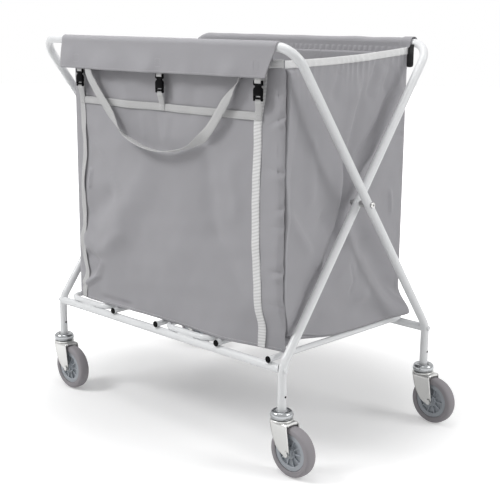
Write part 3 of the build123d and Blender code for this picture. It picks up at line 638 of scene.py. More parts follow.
def slanted_ribs_painted_shade(tree, given):
    """Ribs of tape webbing: the absolute sine of distance along less a third of the distance
    across, so the ribs run on a slant. Painted shade darkens the grooves; fibre noise breaks it up."""
    along, across = place(tree, "ShaderNodeSeparateXYZ", {0: given["Vector"]}).outputs[:2]
    slant = calc(tree, "MULTIPLY_ADD", across, -0.33, along)
    rib = ridges(tree, calc(tree, "DIVIDE", slant, given["Pitch"]))
    fibre = noise(tree, given["Vector"], 1800.0)
    broad = noise(tree, given["Vector"], 30.0, 3.0)
    # painted shade: the grooves are darkened by the Depth share of the colour
    tone = calc(tree, "MULTIPLY_ADD", rib, given["Depth"], calc(tree, "SUBTRACT", 1.0, given["Depth"]))
    tone = about_half(tree, broad, 0.10, tone)
    rough = calc(tree, "MULTIPLY_ADD", fibre, 0.2, 0.65)
    return shade(tree, given["Color"], tone), rough, calc(tree, "MULTIPLY_ADD", fibre, 0.3, rib)


def worn_coat(tree, given):
    """Moulded or sprayed surface: orange peel or fine grain as height, slow unevenness in tone
    and gloss, and a few small rubbed specks."""
    peel = noise(tree, given["Vector"], calc(tree, "DIVIDE", 1.0, given["Grain"]))
    broad = noise(tree, given["Vector"], 9.0, 3.0)
    speck = noise(tree, given["Vector"], 160.0, 4.0)
    limits = {0: speck, 1: 0.66, 2: 0.76, 3: 0.0, 4: given["Wear"]}
    rubbed = place(tree, "ShaderNodeMapRange", limits).outputs[0]
    tone = calc(tree, "SUBTRACT", about_half(tree, broad, 0.08, 1.0), rubbed)
    rough = about_half(tree, broad, 0.18, given["Gloss"])
    rough = calc(tree, "ADD", rough, calc(tree, "MULTIPLY", rubbed, 0.5))
    return shade(tree, given["Color"], tone), rough, peel


def plated(tree, given):
    """Plated metal: spangle cells and drawn streaks in tone and gloss, with a fine grain."""
    cell = place(tree, "ShaderNodeTexVoronoi", {"Vector": given["Vector"], "Scale": 260.0}).outputs[1]
    spot = place(tree, "ShaderNodeSeparateColor", {0: cell}).outputs[0]
    streak = noise(tree, stretched(tree, given["Vector"], 900.0, 900.0), 0.4, 3.0)
    tone = about_half(tree, spot, given["Spangle"], 1.0)
    return shade(tree, given["Color"], tone), about_half(tree, streak, 0.2, given["Gloss"]), streak


def finish(name, group, color, values, bump, coords="Object", **shader):
    """A material: one effect group into the colour, roughness and bump of a plain shader. The
    bump is its strength and distance."""
    material = bpy.data.materials.new(name)
    material.use_nodes = True
    material.diffuse_color = (*color, 1.0)
    tree = material.node_tree
    principled = tree.nodes["Principled BSDF"].inputs
    for key, value in shader.items():
        principled[key.replace("_", " ")].default_value = value
    if coords == "Object":
        vector = place(tree, "ShaderNodeTexCoord").outputs["Object"]
    else:
        vector = place(tree, "ShaderNodeUVMap", uv_map=coords).outputs[0]
    given = {"Vector": vector, "Color": (*color, 1.0), **values}
    look = place(tree, "ShaderNodeGroup", given, node_tree=group).outputs
    relief = {"Strength": bump[0], "Distance": bump[1], "Height": look["Height"]}
    tree.links.new(look["Color"], principled["Base Color"])
    tree.links.new(look["Roughness"], principled["Roughness"])
    tree.links.new(place(tree, "ShaderNodeBump", relief).outputs[0], principled["Normal"])
    return material


# ------------------------------------------------------------------ settings
def tint(label, about, value):
    """A colour setting."""
    return FloatVectorProperty(
        name=label, description=about, subtype="COLOR", size=3, min=0, max=1, default=value
    )


def amount(label, about, value, **more):
    """A number setting, from 0 up."""
    return FloatProperty(name=label, description=about, min=0, default=value, **more)


def size(label, about, value):
    """A length setting, in metres."""
    return amount(label, about, value, unit="LENGTH", precision=4)


class TrolleyCloth(bpy.types.PropertyGroup):
    """Cloth, tape and thread."""

    thickness: size("Cloth thickness", "Thickness of the bag's cloth", 0.0012)
    weave: size("Thread pitch", "Distance between threads of the plain weave", 0.0009)
    rib: size("Webbing rib pitch", "Distance between ribs of the webbing", 0.0082)
    stitch: size("Stitch pitch", "Distance between stitches", 0.0042)
    bag: tint("Bag cloth", "Colour of the bag's cloth", (0.37, 0.365, 0.385))
    tape: tint("Binding tape", "Colour of the tape bound over the rim", (0.80, 0.80, 0.80))
    webbing: tint("Webbing", "Colour of the straps and the handle", (0.55, 0.55, 0.55))
    ribbed: tint("Ribbed webbing", "Colour of the ribbed strip down the front", (0.80, 0.80, 0.80))
    thread: tint("Thread", "Colour of the sewing thread", (0.72, 0.72, 0.73))
    grey_thread: tint("Grey thread", "Colour of the thread in the cloth's hems", (0.53, 0.525, 0.545))
    hook: tint("Hook tape", "Colour of the black hook-and-loop strap", (0.014, 0.014, 0.015))


class TrolleyHardware(bpy.types.PropertyGroup):
    """Metal, rubber and plastic."""

    coat: tint("Powder coat", "Colour of the coated tubes", (0.78, 0.79, 0.80))
    zinc: tint("Zinc plating", "Colour of the forks and pivots", (0.56, 0.56, 0.55))
    cup: tint("Bright plating", "Colour of the swivel cups", (0.36, 0.37, 0.38))
    rubber: tint("Tyre rubber", "Colour of the tyres", (0.285, 0.27, 0.285))
    rim: tint("Wheel rims", "Colour of the moulded rims", (0.355, 0.38, 0.41))
    plastic: tint("Black plastic", "Colour of the buckles and caps", (0.003, 0.003, 0.0035))


class TrolleyStudio(bpy.types.PropertyGroup):
    """Light and floor."""

    sky: amount("Surrounding light", "Strength of the even light from all sides", 0.44)
    lamp: amount("Side lamp", "Power of the soft lamp at the right rear", 132.0, subtype="POWER")
    fill: amount("Front lamp", "Power of the soft lamp in front", 86.0, subtype="POWER")
    top: amount("Top lamp", "Power of the soft lamp right above", 24.0, subtype="POWER")
    floor: tint("Floor", "Colour of the pale floor", (0.80, 0.80, 0.80))
    # painted light: the level of the floor's glow near the trolley, which lightens the shadows there
    lift: amount("Floor whiteness", "White added to what the camera sees of the floor", 0.22, max=1)


class TrolleyStep:
    """What the operators share."""

    bl_options = {"REGISTER", "UNDO"}


def seat(piece, slot, body, stands_for=None, kind=None):
    """Gives a new piece the finish of one of the record's slots, or a kind of it, and a body to
    ride on, and lets it stand for a CAD node."""
    piece.data.materials.append(bpy.data.materials[kind or slot])
    if stands_for:
        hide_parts(stands_for)
    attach(piece, body)
    return piece


def draw_in(piece):
    """Gives a piece of the bag a mesh of its own."""
    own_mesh(piece)


class TROLLEY_OT_finishes(TrolleyStep, bpy.types.Operator):
    """Makes the finishes and puts them on the tubes, racks and wheels"""

    bl_idname = "trolley.finishes"
    bl_label = "Finishes"

    def execute(self, context):
        cloth, hard = context.scene.trolley_cloth, context.scene.trolley_hardware
        weave = effect("Plain weave", plain_weave_painted_shade, Pitch=0.0009, Slubs=0.05, Mottling=0.10)
        # the ribs' Depth is how much shade is painted into their grooves
        ribs = effect("Slanted ribs", slanted_ribs_painted_shade, Pitch=0.0053, Depth=0.25)
        coat = effect("Coat and wear", worn_coat, Grain=0.002, Wear=0.05, Gloss=0.35)
        plate = effect("Plating", plated, Spangle=0.06, Gloss=0.3)
        old = list(bpy.data.materials)
        for material in old:
            material.name = f"{material.name}_plain"

        def coated(name, color, grain, wear, gloss, bump, **shader):
            """Sprayed, rubber or moulded surface."""
            return finish(name, coat, color, {"Grain": grain, "Wear": wear, "Gloss": gloss}, bump, **shader)

        def metal(name, color, spangle, gloss, bump):
            """Plated surface."""
            return finish(name, plate, color, {"Spangle": spangle, "Gloss": gloss}, bump, Metallic=1.0)

        def woven(name, color, pitch, slubs, mottling, bump, **shader):
            """Cloth or tape in plain weave, with shade painted between the threads."""
            values = {"Pitch": pitch, "Slubs": slubs, "Mottling": mottling}
            return finish(name, weave, color, values, bump, "Cloth", **shader)

        def ribbed(name, color, pitch, depth, bump, coords="Cloth", **shader):
            """Webbing, hook tape or twisted thread, with shade painted into the grooves by depth."""
            return finish(name, ribs, color, {"Pitch": pitch, "Depth": depth}, bump, coords, **shader)

        shine = {"Coat_Weight": 0.25, "Coat_Roughness": 0.15}
        dull = {"Specular_IOR_Level": 0.04}
        soft = {"Sheen_Weight": 0.12, "Sheen_Roughness": 0.5}
        made = {
            material.name: material
            for material in (
                coated("powder_coat", hard.coat, 0.0022, 0.03, 0.33, (0.10, 0.0002), **shine),
                metal("zinc_steel", hard.zinc, 0.025, 0.36, (0.08, 0.0001)),
                metal("bright_cup", hard.cup, 0.02, 0.16, (0.02, 0.0001)),
                coated("grey_rubber", hard.rubber, 0.0006, 0.02, 0.62, (0.35, 0.0001)),
                coated("rim_plastic", hard.rim, 0.0005, 0.02, 0.42, (0.2, 0.00008)),
                coated("black_plastic", hard.plastic, 0.0005, 0.001, 0.45, (0.3, 0.00008), **dull),
                woven("bag_cloth", cloth.bag, cloth.weave, 0.045, 0.10, (0.35, 0.0002), **soft),
                woven("white_tape", cloth.tape, 0.0007, 0.03, 0.05, (0.5, 0.0002), Sheen_Weight=0.1),
                # the number after each rib pitch is the depth of the shade painted into the grooves
                ribbed("webbing", cloth.ribbed, cloth.rib, 0.24, (0.5, 0.0006), Sheen_Weight=0.08),
                ribbed("soft_webbing", cloth.webbing, 0.0022, 0.14, (0.4, 0.0003), Sheen_Weight=0.08),
                ribbed("hook_tape", cloth.hook, 0.0016, 0.4, (0.8, 0.0006), Sheen_Weight=0.15),
                ribbed("thread", cloth.thread, 0.0006, 0.15, (0.3, 0.0001), "Object"),
                ribbed("grey_thread", cloth.grey_thread, 0.0006, 0.15, (0.3, 0.0001), "Object"),
            )
        }
        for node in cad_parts.values():
            for spot in node.material_slots:
                slot = spot.material.name.split("_plain")[0].split(".")[0]
                # the saddles are coated as the tubes are
                spot.material = made["powder_coat" if node.name.startswith("saddles") else slot]
        for material in old:
            bpy.data.materials.remove(material)
        return {"FINISHED"}


def wall(s, rows, low, high, place_of):
    """Grid of a wall: rows from its lower edge to its rim, columns along it."""
    s, t = s[None, :], rows[:, None]
    return grid(*place_of(s, low(s) + (high(s) - low(s)) * t))


def flat_lengths(points):
    """Running lengths across and up a grid of cloth."""
    return np.stack([lengths(points, 1), lengths(points, 0)], -1)


def cloth_panel(name, points, thickness, node, body):
    """A panel of bag cloth from its grid, thickened, that stands for a node of the bag."""
    piece = thicken(sheet_mesh(name, points, flat_lengths(points)), thickness)
    seat(piece, "bag_cloth", body, node)
    return piece


class TROLLEY_OT_bag(TrolleyStep, bpy.types.Operator):
    """Hangs the bag's four walls and lays its floor on the racks"""

    bl_idname = "trolley.bag"
    bl_label = "Bag walls and floor"

    def execute(self, context):
        thickness = context.scene.trolley_cloth.thickness
        rows = spread((0, 0.06, 12), (0.06, 0.93, 250), (0.93, 1, 16))
        columns = spread((0, 0.12, 24), (0.12, 0.91, 68), (0.91, 0.985, 36), (0.985, 1, 10))
        side_rows = spread((0, 0.06, 9), (0.06, 0.9, 110), (0.9, 1, 24))
        side_columns = spread((0, 0.02, 5), (0.02, 0.032, 9), (0.032, 0.97, 220), (0.97, 1, 9))
        rear_rows = spread((0, 0.06, 7), (0.06, 1, 110))
        rear_columns = spread((0, 0.05, 8), (0.05, 0.95, 110), (0.95, 1, 8))
        front = wall(columns, rows, lambda s: LOW_Z, self.front_rim, front_place)
        right = wall(side_columns, side_rows, right_low, right_top, lambda s, z: side_wall(s, z, True))
        left = wall(side_columns, side_rows, left_low, left_top, lambda s, z: side_wall(s, z, False))
        rear = wall(rear_columns, rear_rows, rear_low, lambda s: TOP_Z, rear_place)
        hung, hoops = ("hung", ["bag_binding"]), ["hoop_front_1", "hoop_rear_1"]
        for name, points, node, held, rests_on in (
            ("Front_wall_cloth", front, "bag_front", "hung", ["front_flap"]),
            ("Right_wall_cloth", right, "bag_right", *hung),
            ("Left_wall_cloth", left[:, ::-1], "bag_left", *hung),
            ("Rear_wall_cloth", rear[:, ::-1], "bag_rear", *hung),
            ("Bag_floor_cloth", self.floor_points()[:, ::-1], "bag_floor", "laid", hoops),
        ):
            draw_in(cloth_panel(name, points, thickness, node, "bag"))
        return {"FINISHED"}

    def front_rim(self, s):
        """Rim of the front wall at share s from left to right."""
        return front_top(LEFT_FRONT_X + RIM_W * s)

    def floor_points(self):
        """Floor as a Coons patch: the four walls' lower edges blended across, less the blend of
        the four corners, kept on top of the hoops. Its front edge lifts at the right corner."""
        u, v = np.linspace(0, 1, 70), np.linspace(0, 1, 60)
        front = grid(*front_place(u, LOW_Z + 38 * bell(1 - u, 0.09)))
        front[:, 1] += 1.0
        rear = grid(*rear_place(u, rear_low(u)))
        left = grid(*side_wall(v, left_low(v), False))
        right = grid(*side_wall(v, right_low(v), True))
        front[0], front[-1] = left[0], right[0]
        rear[0], rear[-1] = left[-1], right[-1]
        U, V = u[None, :, None], v[:, None, None]
        patch = (1 - V) * front[None] + V * rear[None] + (1 - U) * left[:, None] + U * right[:, None]
        patch -= (1 - V) * ((1 - U) * front[0] + U * front[-1]) + V * ((1 - U) * rear[0] + U * rear[-1])
        inner = smooth(U / 0.06) * smooth((1 - U) / 0.06) * smooth(V / 0.05) * smooth((1 - V) / 0.04)
        level = 285.1 + 0.5 * np.abs(drift(patch[..., 0], patch[..., 1], 120, 1.0, 31))
        patch[..., 2] = patch[..., 2] + (level - patch[..., 2]) * inner[..., 0]
        return patch


BINDING_T = 0.6
# half of the binding's section: distance down from the rim and out from the wall's middle
BINDING = ((17, 1.9), (14.5, 1.9), (11, 1.8), (7, 1.7), (3, 1.6), (0.8, 1.5), (0, 0.9), (-0.4, 0))


class TROLLEY_OT_binding(TrolleyStep, bpy.types.Operator):
    """Folds the white tape over the rims of the side walls and the front wall"""

    bl_idname = "trolley.binding"
    bl_label = "Rim binding"

    def execute(self, context):
        self.fold_over("Right", lambda s, down: self.side(s, down, right_top, True), (1, 0))
        self.fold_over("Left", lambda s, down: self.side(s, down, left_top, False), (-1, 0))
        self.fold_over("Front", self.front, (0, -1))
        return {"FINISHED"}

    def side(self, s, down, top, right):
        """Point of a side wall this far down from its rim."""
        return side_wall(s, top(np.clip(s, 0, 1)) - down, right)

    def front(self, s, down):
        """Point of the front wall this far down from its rim."""
        x = LEFT_FRONT_X + 4 + (RIM_W - 6.5) * s
        z = front_top(x) - down
        return x, front_y(x, z), z

    def fold_over(self, side, rim, out):
        """Tape as a narrow U over a wall's rim: down both faces, rounded at the top, and
        drifting a little in and out along its length."""
        s = np.linspace(-0.002, 1.002, 230)[None, :]
        down, proud = np.array(BINDING, float).T
        down = np.concatenate([down, down[-2::-1]])[:, None]
        proud = np.concatenate([proud, -proud[-2::-1]])[:, None]
        x, y, z = rim(s, down)
        wave = 0.7 * drift(x + y, z, 90, 1.0, 42) * smooth(s / 0.05) * smooth((1 - s) / 0.05)
        points = grid(x + out[0] * (proud + wave), y + out[1] * (proud + wave), z + 0.5 * wave)
        if side == "Left":
            points = points[:, ::-1]
        piece = sheet_mesh(f"{side}_rim_binding", points[::-1], flat_lengths(points))
        thicken(piece, BINDING_T * MM)
        seat(piece, "white_tape", "bag", "bag_binding" if side == "Right" else None)
        draw_in(piece)


def flap_ends(z, back):
    """Left and right end of the flap at height z: it narrows towards its hem at the right, and
    its back is shorter."""
    left = np.interp(z, [936, 983, BAR_Z], [-372, -369, -366])
    right = np.interp(z, [936, 966, 1003, BAR_Z], [397, 409, 427, 428])
    return np.where(back, -364.0, left), np.where(back, 397.0, right)


def flap_hem(x):
    """Height of the flap's hem, which rises a little to the right."""
    return np.interp(x, [-372, -120, 124, 390], [934.4, 934.0, 936.5, 938.8])


def flap_front(x, z):
    """Depth of the flap's front drop: flat where it is stitched, with slow folds that only
    stand outward and grow towards the hem."""
    grow = smooth((1004 - z) / 62)
    wave = 3.2 + drift(x, 0.5 * z, 150, 4.2, 51) + drift(x, 0.8 * z, 60, 1.6, 52)
    pinned = 1 - 0.7 * (bell(x + 302, 24) + bell(x - 31, 24) + bell(x - 368, 24))
    return BAR_Y - CLOTH_R - grow * pinned * np.clip(wave, 0, None)


class TROLLEY_OT_flap(TrolleyStep, bpy.types.Operator):
    """Turns the front flap over the front bar and the sleeve round the rear bar"""

    bl_idname = "trolley.flap"
    bl_label = "Flap and sleeve"

    def execute(self, context):
        thickness = context.scene.trolley_cloth.thickness
        for name, points, node, body, bar in (
            ("Front_flap_cloth", self.flap_points(), "front_flap", "front_panel", "outer_frame"),
            ("Rear_sleeve_cloth", self.sleeve_points(), "rear_sleeve", "rear_panel", "inner_frame"),
        ):
            cloth_panel(name, points, thickness, node, body)
        return {"FINISHED"}

    def flap_points(self):
        """Flap: up the front of the bar, half round it and down behind it."""
        arc = np.linspace(0, math.pi, ROUND_ROWS)[1:]
        down = np.linspace(0, TOP_Z - 8 - BAR_Z, DOWN_ROWS)[1:]
        behind = np.full(len(down), CLOTH_R)
        y = BAR_Y + np.concatenate([np.full(UP_ROWS, -CLOTH_R), -CLOTH_R * np.cos(arc), behind])[:, None]
        z = np.concatenate([np.linspace(HEM_Z - BAR_Z, 0, UP_ROWS), CLOTH_R * np.sin(arc), down])
        z = BAR_Z + z[:, None]
        row = np.arange(len(y))[:, None]
        back = row > UP_ROWS + ROUND_ROWS // 2
        left, right = flap_ends(z, back)
        x = left + (right - left) * np.linspace(0, 1, 170)[None, :]
        lift = (flap_hem(x) - HEM_Z) * smooth((1000 - z) / 60) * ~back
        return grid(x, np.where(row < UP_ROWS, flap_front(x, z), y), z + lift)

    def sleeve_points(self):
        """Sleeve: up the front of the rear bar, round it and back to its own front, where it is
        sewn down. It puckers between the seams, swells over the bar and, where the hook tape
        passes, stands further out."""
        bar_y, tail_rows = -BAR_Y, 10
        arc = np.linspace(math.pi, -0.42 * math.pi, 30)[1:]
        y = np.concatenate([np.full(UP_ROWS, bar_y - CLOTH_R), bar_y + CLOTH_R * np.cos(arc)])
        z = np.concatenate([np.linspace(SLEEVE_HEM_Z, BAR_Z, UP_ROWS), BAR_Z + CLOTH_R * np.sin(arc)])
        y = np.concatenate([y, np.linspace(y[-1], bar_y - CLOTH_R + 1.5, tail_rows)[1:]])[:, None]
        z = np.concatenate([z, np.linspace(z[-1], BAR_Z - CLOTH_R - 5.0, tail_rows)[1:]])[:, None]
        above = smooth((z - 978) / 28)
        left, right = -386 - 34 * above, 364 + 22 * above
        x = left + (right - left) * np.linspace(0, 1, 400)[None, :]
        over_strap = 1 + 0.22 * smooth((x - 348) / 12)
        y = bar_y + (y - bar_y) * over_strap
        z = np.where(z > BAR_Z, BAR_Z + (z - BAR_Z) * over_strap, z)
        # the bar turns down at its left end, and the sleeve with it
        turn_in = BAR_BEND - np.sqrt(BAR_BEND**2 - np.clip(REAR_BEND_X - x, 0, BAR_BEND - 1) ** 2)
        y, z = y - 0.59 * turn_in, z - 0.81 * turn_in
        held = (bell(z - 985, 14) + bell(z - 967, 10)) * (1 + 0.2 * drift(x, z, 60, 1.0, 62))
        pucker = 1.1 * (1 + np.sin(2 * math.pi * x / 19.5 + 1.2 * np.sin(x / 33))) * held
        swell = 0.7 * (1 + drift(x, 0.0, 110, 1.0, 61)) * smooth((z - 990) / 14)
        below_bar = np.arange(len(y))[:, None] < 20
        y = y - np.where(below_bar, pucker, 0) + np.where(y > bar_y, swell, 0)
        return grid(x, y, z + np.where(z > BAR_Z + 4, swell, 0))


# pairs of height and place: the slack left strip wanders from side to side on its way down, the
# right strip leans out below the pleats, and the left one is turned out of the wall by a slope
LEFT_STRIP = (
    (290, -333), (307, -334), (342, -320), (366, -310), (390, -318), (421, -329), (452, -331), (479, -323),
    (502, -316), (533, -319), (563, -323), (626, -320), (701, -309), (735, -309), (822, -316), (965, -314),
)
RIGHT_STRIP = (
    (290, 343), (302, 345), (348, 355), (376, 354), (410, 355.5), (436, 357.5), (517, 352.5), (644, 347),
    (836, 351), (848, 354), (865, 357), (885, 360.5), (901, 363), (921, 365.5), (937, 366.5), (965, 366),
)
STRIP_TURN = ((290, 0.22), (450, 0.20), (575, 0.22), (640, 0.34), (700, 0.30), (822, 0.12), (965, 0.05))


def curve_at(z, table):
    """Smooth value between a few heights: straight interpolation averaged over 24 mm."""
    heights, values = np.array(table, float).T
    return sum(np.interp(z + d, heights, values) for d in (-12, -6, 0, 6, 12)) / 5


def strip_turn(z):
    """How far the slack left strip is turned out of the wall's plane, as a slope."""
    return curve_at(z, STRIP_TURN) + 0.06 * np.sin(z / 19.0)


def on_front(x, z, off):
    """Points a distance in front of the front wall."""
    return grid(x, front_y(x, z) - off, z)


class TROLLEY_OT_webbing(TrolleyStep, bpy.types.Operator):
    """Lays the webbing on the front wall and the straps that hold the buckles"""

    bl_idname = "trolley.webbing"
    bl_label = "Front webbing"

    def execute(self, context):
        z = np.linspace(LOW_Z + 1, 972.0, 190)
        turn = strip_turn(z)
        left = tape(on_front(curve_at(z, LEFT_STRIP), z, 1.5 + 4 * turn), grid(1, -turn, 0))
        right = tape(on_front(curve_at(z, RIGHT_STRIP), z, 1.7), (1, 0.02, 0))
        x = np.linspace(BUCKLE_X[0] - 25, BUCKLE_X[2] - 5, 170)
        band = tape(on_front(x, BAND_Z + 0.8 * drift(x, 0.0, 160, 1.0, 72), 3.2), UP, BAND_W)
        draw_in(seat(joined("Front_wall_webbing", right), "webbing", "bag", "bag_webbing"))
        piece = joined("Front_band_and_left_strip", left, band)
        draw_in(seat(piece, "webbing", "bag", kind="soft_webbing"))
        straps = [self.strap(self.socket_knots(*places), 26) for places in zip(BUCKLE_X, STRAP_ASIDE)]
        seat(joined("Buckle_socket_straps", *straps), "webbing", "front_panel", kind="soft_webbing")
        for name, at in zip(BUCKLES, BUCKLE_X):
            piece = joined(f"Tongue_strap_{name}", self.strap(self.tongue_knots(at), 22))
            seat(piece, "webbing", f"tongue_{name}", f"tongue_strap_{name}", "soft_webbing")
        return {"FINISHED"}

    def strap(self, knots, count):
        """Level strap through a few knots."""
        return tape(curve_through(knots, count), RIGHT, STRAP_W)

    def socket_knots(self, at, aside):
        """From the box sewn on the band up into the socket's lower bar."""
        start = on_front(at + aside, BAND_Z - 8, 4.8)
        half_way = (at + aside * 0.4, (start[1] + HANG_Y) / 2 - 0.6, 872)
        return [start, start + (0, -0.6, 14), half_way, (at, HANG_Y + 0.8, 883), (at, HANG_Y + 1.6, 896)]

    def tongue_knots(self, at):
        """From the tongue's bar up to where the strap is sewn behind the flap."""
        bar = [(at, HANG_Y + 0.5, 922.5), (at, HANG_Y - 2, 927), (at, (HANG_Y + SEWN_Y) / 2, 938)]
        return [*bar, (at, SEWN_Y, 947), (at, SEWN_Y, 962)]


# mouldings of a buckle, as rows of height, distance aside, half width and half depth
SOCKET_SHELL = (
    (11.6, 0, 13.0, 3.2), (12.2, 0, 13.8, 4.0), (13.0, 0, 14.1, 4.3), (17.0, 0, 14.3, 4.4),
    (22.0, 0, 14.4, 4.4), (26.0, 0, 14.2, 4.4), (29.0, 0, 12.6, 4.3), (30.6, 0, 10.4, 4.2),
    (31.2, 0, 9.9, 3.9), (31.2, 0, 9.2, 3.0), (30.6, 0, 9.0, 2.7), (29.0, 0, 9.6, 2.7),
    (22.0, 0, 12.2, 2.7), (15.0, 0, 12.4, 2.7), (14.0, 0, 11.8, 2.2),
)
SOCKET_LEG = (
    (0.0, 12.6, 1.0, 1.6), (0.5, 12.0, 1.6, 2.56), (1.2, 11.7, 1.9, 3.04), (6.0, 11.5, 2.1, 3.36),
    (13.0, 11.4, 2.2, 3.52),
)
SOCKET_BAR = (
    (4.2, 0, 11.6, 0.8), (4.6, 0, 11.6, 1.3), (5.2, 0, 11.6, 1.6), (7.4, 0, 11.6, 1.6),
    (8.0, 0, 11.6, 1.3), (8.4, 0, 11.6, 0.8),
)
TONGUE_BAR = (
    (34.6, 0, 11.4, 2.6), (35.0, 0, 12.4, 3.2), (35.8, 0, 13.0, 3.5), (38.4, 0, 13.2, 3.5),
    (39.2, 0, 12.8, 3.2), (39.6, 0, 12.0, 2.6),
)
TONGUE_EAR = (
    (36.0, 12, 1.4, 3.0), (40.0, 12, 1.9, 3.2), (44.0, 12, 1.8, 3.0), (46.2, 12, 1.3, 2.4),
    (47.0, 12, 0.7, 1.4),
)
TONGUE_NECK = ((31.0, 0, 9.4, 2.4), (32.0, 0, 9.6, 2.6), (34.0, 0, 9.8, 2.8), (35.4, 0, 11.4, 3.0))
TONGUE_GUIDE = ((17.0, 0, 1.8, 1.9), (18.0, 0, 2.6, 1.9), (20.0, 0, 3.0, 1.9), (32.0, 0, 3.2, 1.9))
TONGUE_PRONG = (
    (16.0, 9.6, 0.8, 1.9), (17.0, 10.2, 1.3, 1.9), (19.0, 10.6, 1.6, 1.9), (22.0, 10.4, 1.5, 1.9),
    (26.0, 9.4, 1.3, 1.9), (30.0, 8.2, 1.3, 1.9), (32.5, 7.6, 1.4, 1.9),
)


class TROLLEY_OT_buckles(TrolleyStep, bpy.types.Operator):
    """Moulds the three side-release buckles"""

    bl_idname = "trolley.buckles"
    bl_label = "Buckles"

    def execute(self, context):
        sockets = [part for at in BUCKLE_X for part in self.socket(at)]
        seat(joined("Buckle_sockets_moulded", *sockets), "black_plastic", "front_panel", "buckle_sockets")
        for name, at in zip(BUCKLES, BUCKLE_X):
            piece = joined(f"Buckle_tongue_{name}_moulded", *self.tongue(at))
            seat(piece, "black_plastic", f"tongue_{name}", f"buckle_tongue_{name}")
        return {"FINISHED"}

    def socket(self, x):
        """Socket: a hollow shell whose sides swell towards the mouth and are cut back there for
        the prongs, with two legs and a bar below for the webbing."""
        legs = [moulding(x, HANG_Y, BUCKLE_Z, SOCKET_LEG, side) for side in (-1, 1)]
        bar = moulding(x, HANG_Y - 2.0, BUCKLE_Z, SOCKET_BAR)
        return [moulding(x, HANG_Y, BUCKLE_Z, SOCKET_SHELL), *legs, bar]

    def tongue(self, x):
        """Tongue: a bar with two ears that the webbing passes between, a narrow neck, and a
        guide and two bowed prongs that go down into the socket."""
        single = [moulding(x, HANG_Y, BUCKLE_Z, rows) for rows in (TONGUE_BAR, TONGUE_NECK, TONGUE_GUIDE)]
        pairs = [(rows, side) for rows in (TONGUE_EAR, TONGUE_PRONG) for side in (-1, 1)]
        return single + [moulding(x, HANG_Y, BUCKLE_Z, rows, side) for rows, side in pairs]


# turned profiles, as pairs of radius and height or distance along the axis
CUP = (
    (17, -13.2), (24.4, -13.1), (26.4, -12.0), (27.8, -9.6), (28.6, -6.0), (28.5, -2.0), (27.6, 1.4),
    (25.6, 4.4), (23.0, 6.2), (20.0, 6.9), (17.2, 6.3), (15.0, 4.6), (13.4, 2.0), (12.4, -0.6), (10.0, -2.0),
)
WEB = ((10, -5.5), (34.6, -5.5), (34.6, 5.5), (10, 5.5))
RACE = ((20, -1), (26.4, -0.4), (28.2, 0.8), (28.7, 2.2), (28.2, 3.6), (26.0, 4.6), (20, 4.9))
PLUG = ((2.9, 9.5), (2.9, 10.9), (2.5, 11.5), (1.2, 11.8), (0.3, 11.9))
# the fork: half its width, its top and foot, the radius of its bend and of its crown's back, its
# thickness, and its back and front edges as pairs of height and distance from the swivel
FORK_SIDE, FORK_TOP, FORK_FOOT, FORK_BEND, CROWN_R, FORK_T = 21.75, 132.6, 53.5, 8.0, 28.3, 2.5
FORK_BACK = (
    (53.5, 36.5), (54.5, 31.5), (56.5, 26), (60, 18.5), (66, 8.9), (76, 0.7), (91, -7.6), (105, -12.3),
    (118, -15.5), (FORK_TOP, -17.8),
)
FORK_FORE = ((53.5, 38.0), (54.5, 41.0), (57, 43.6), (62, 44.4), (80, 42.5), (100, 39.6), (FORK_TOP, 34.8))
# section of the lip in front of the crown: distance from the swivel, height over the fork's top
LIP = (
    (31.0, 1.2), (33.5, 1.1), (35.2, 0.4), (36.1, -1.4), (36.2, -6.0), (34.0, -6.0), (33.8, -2.2),
    (33.2, -1.2), (31.0, -1.2),
)


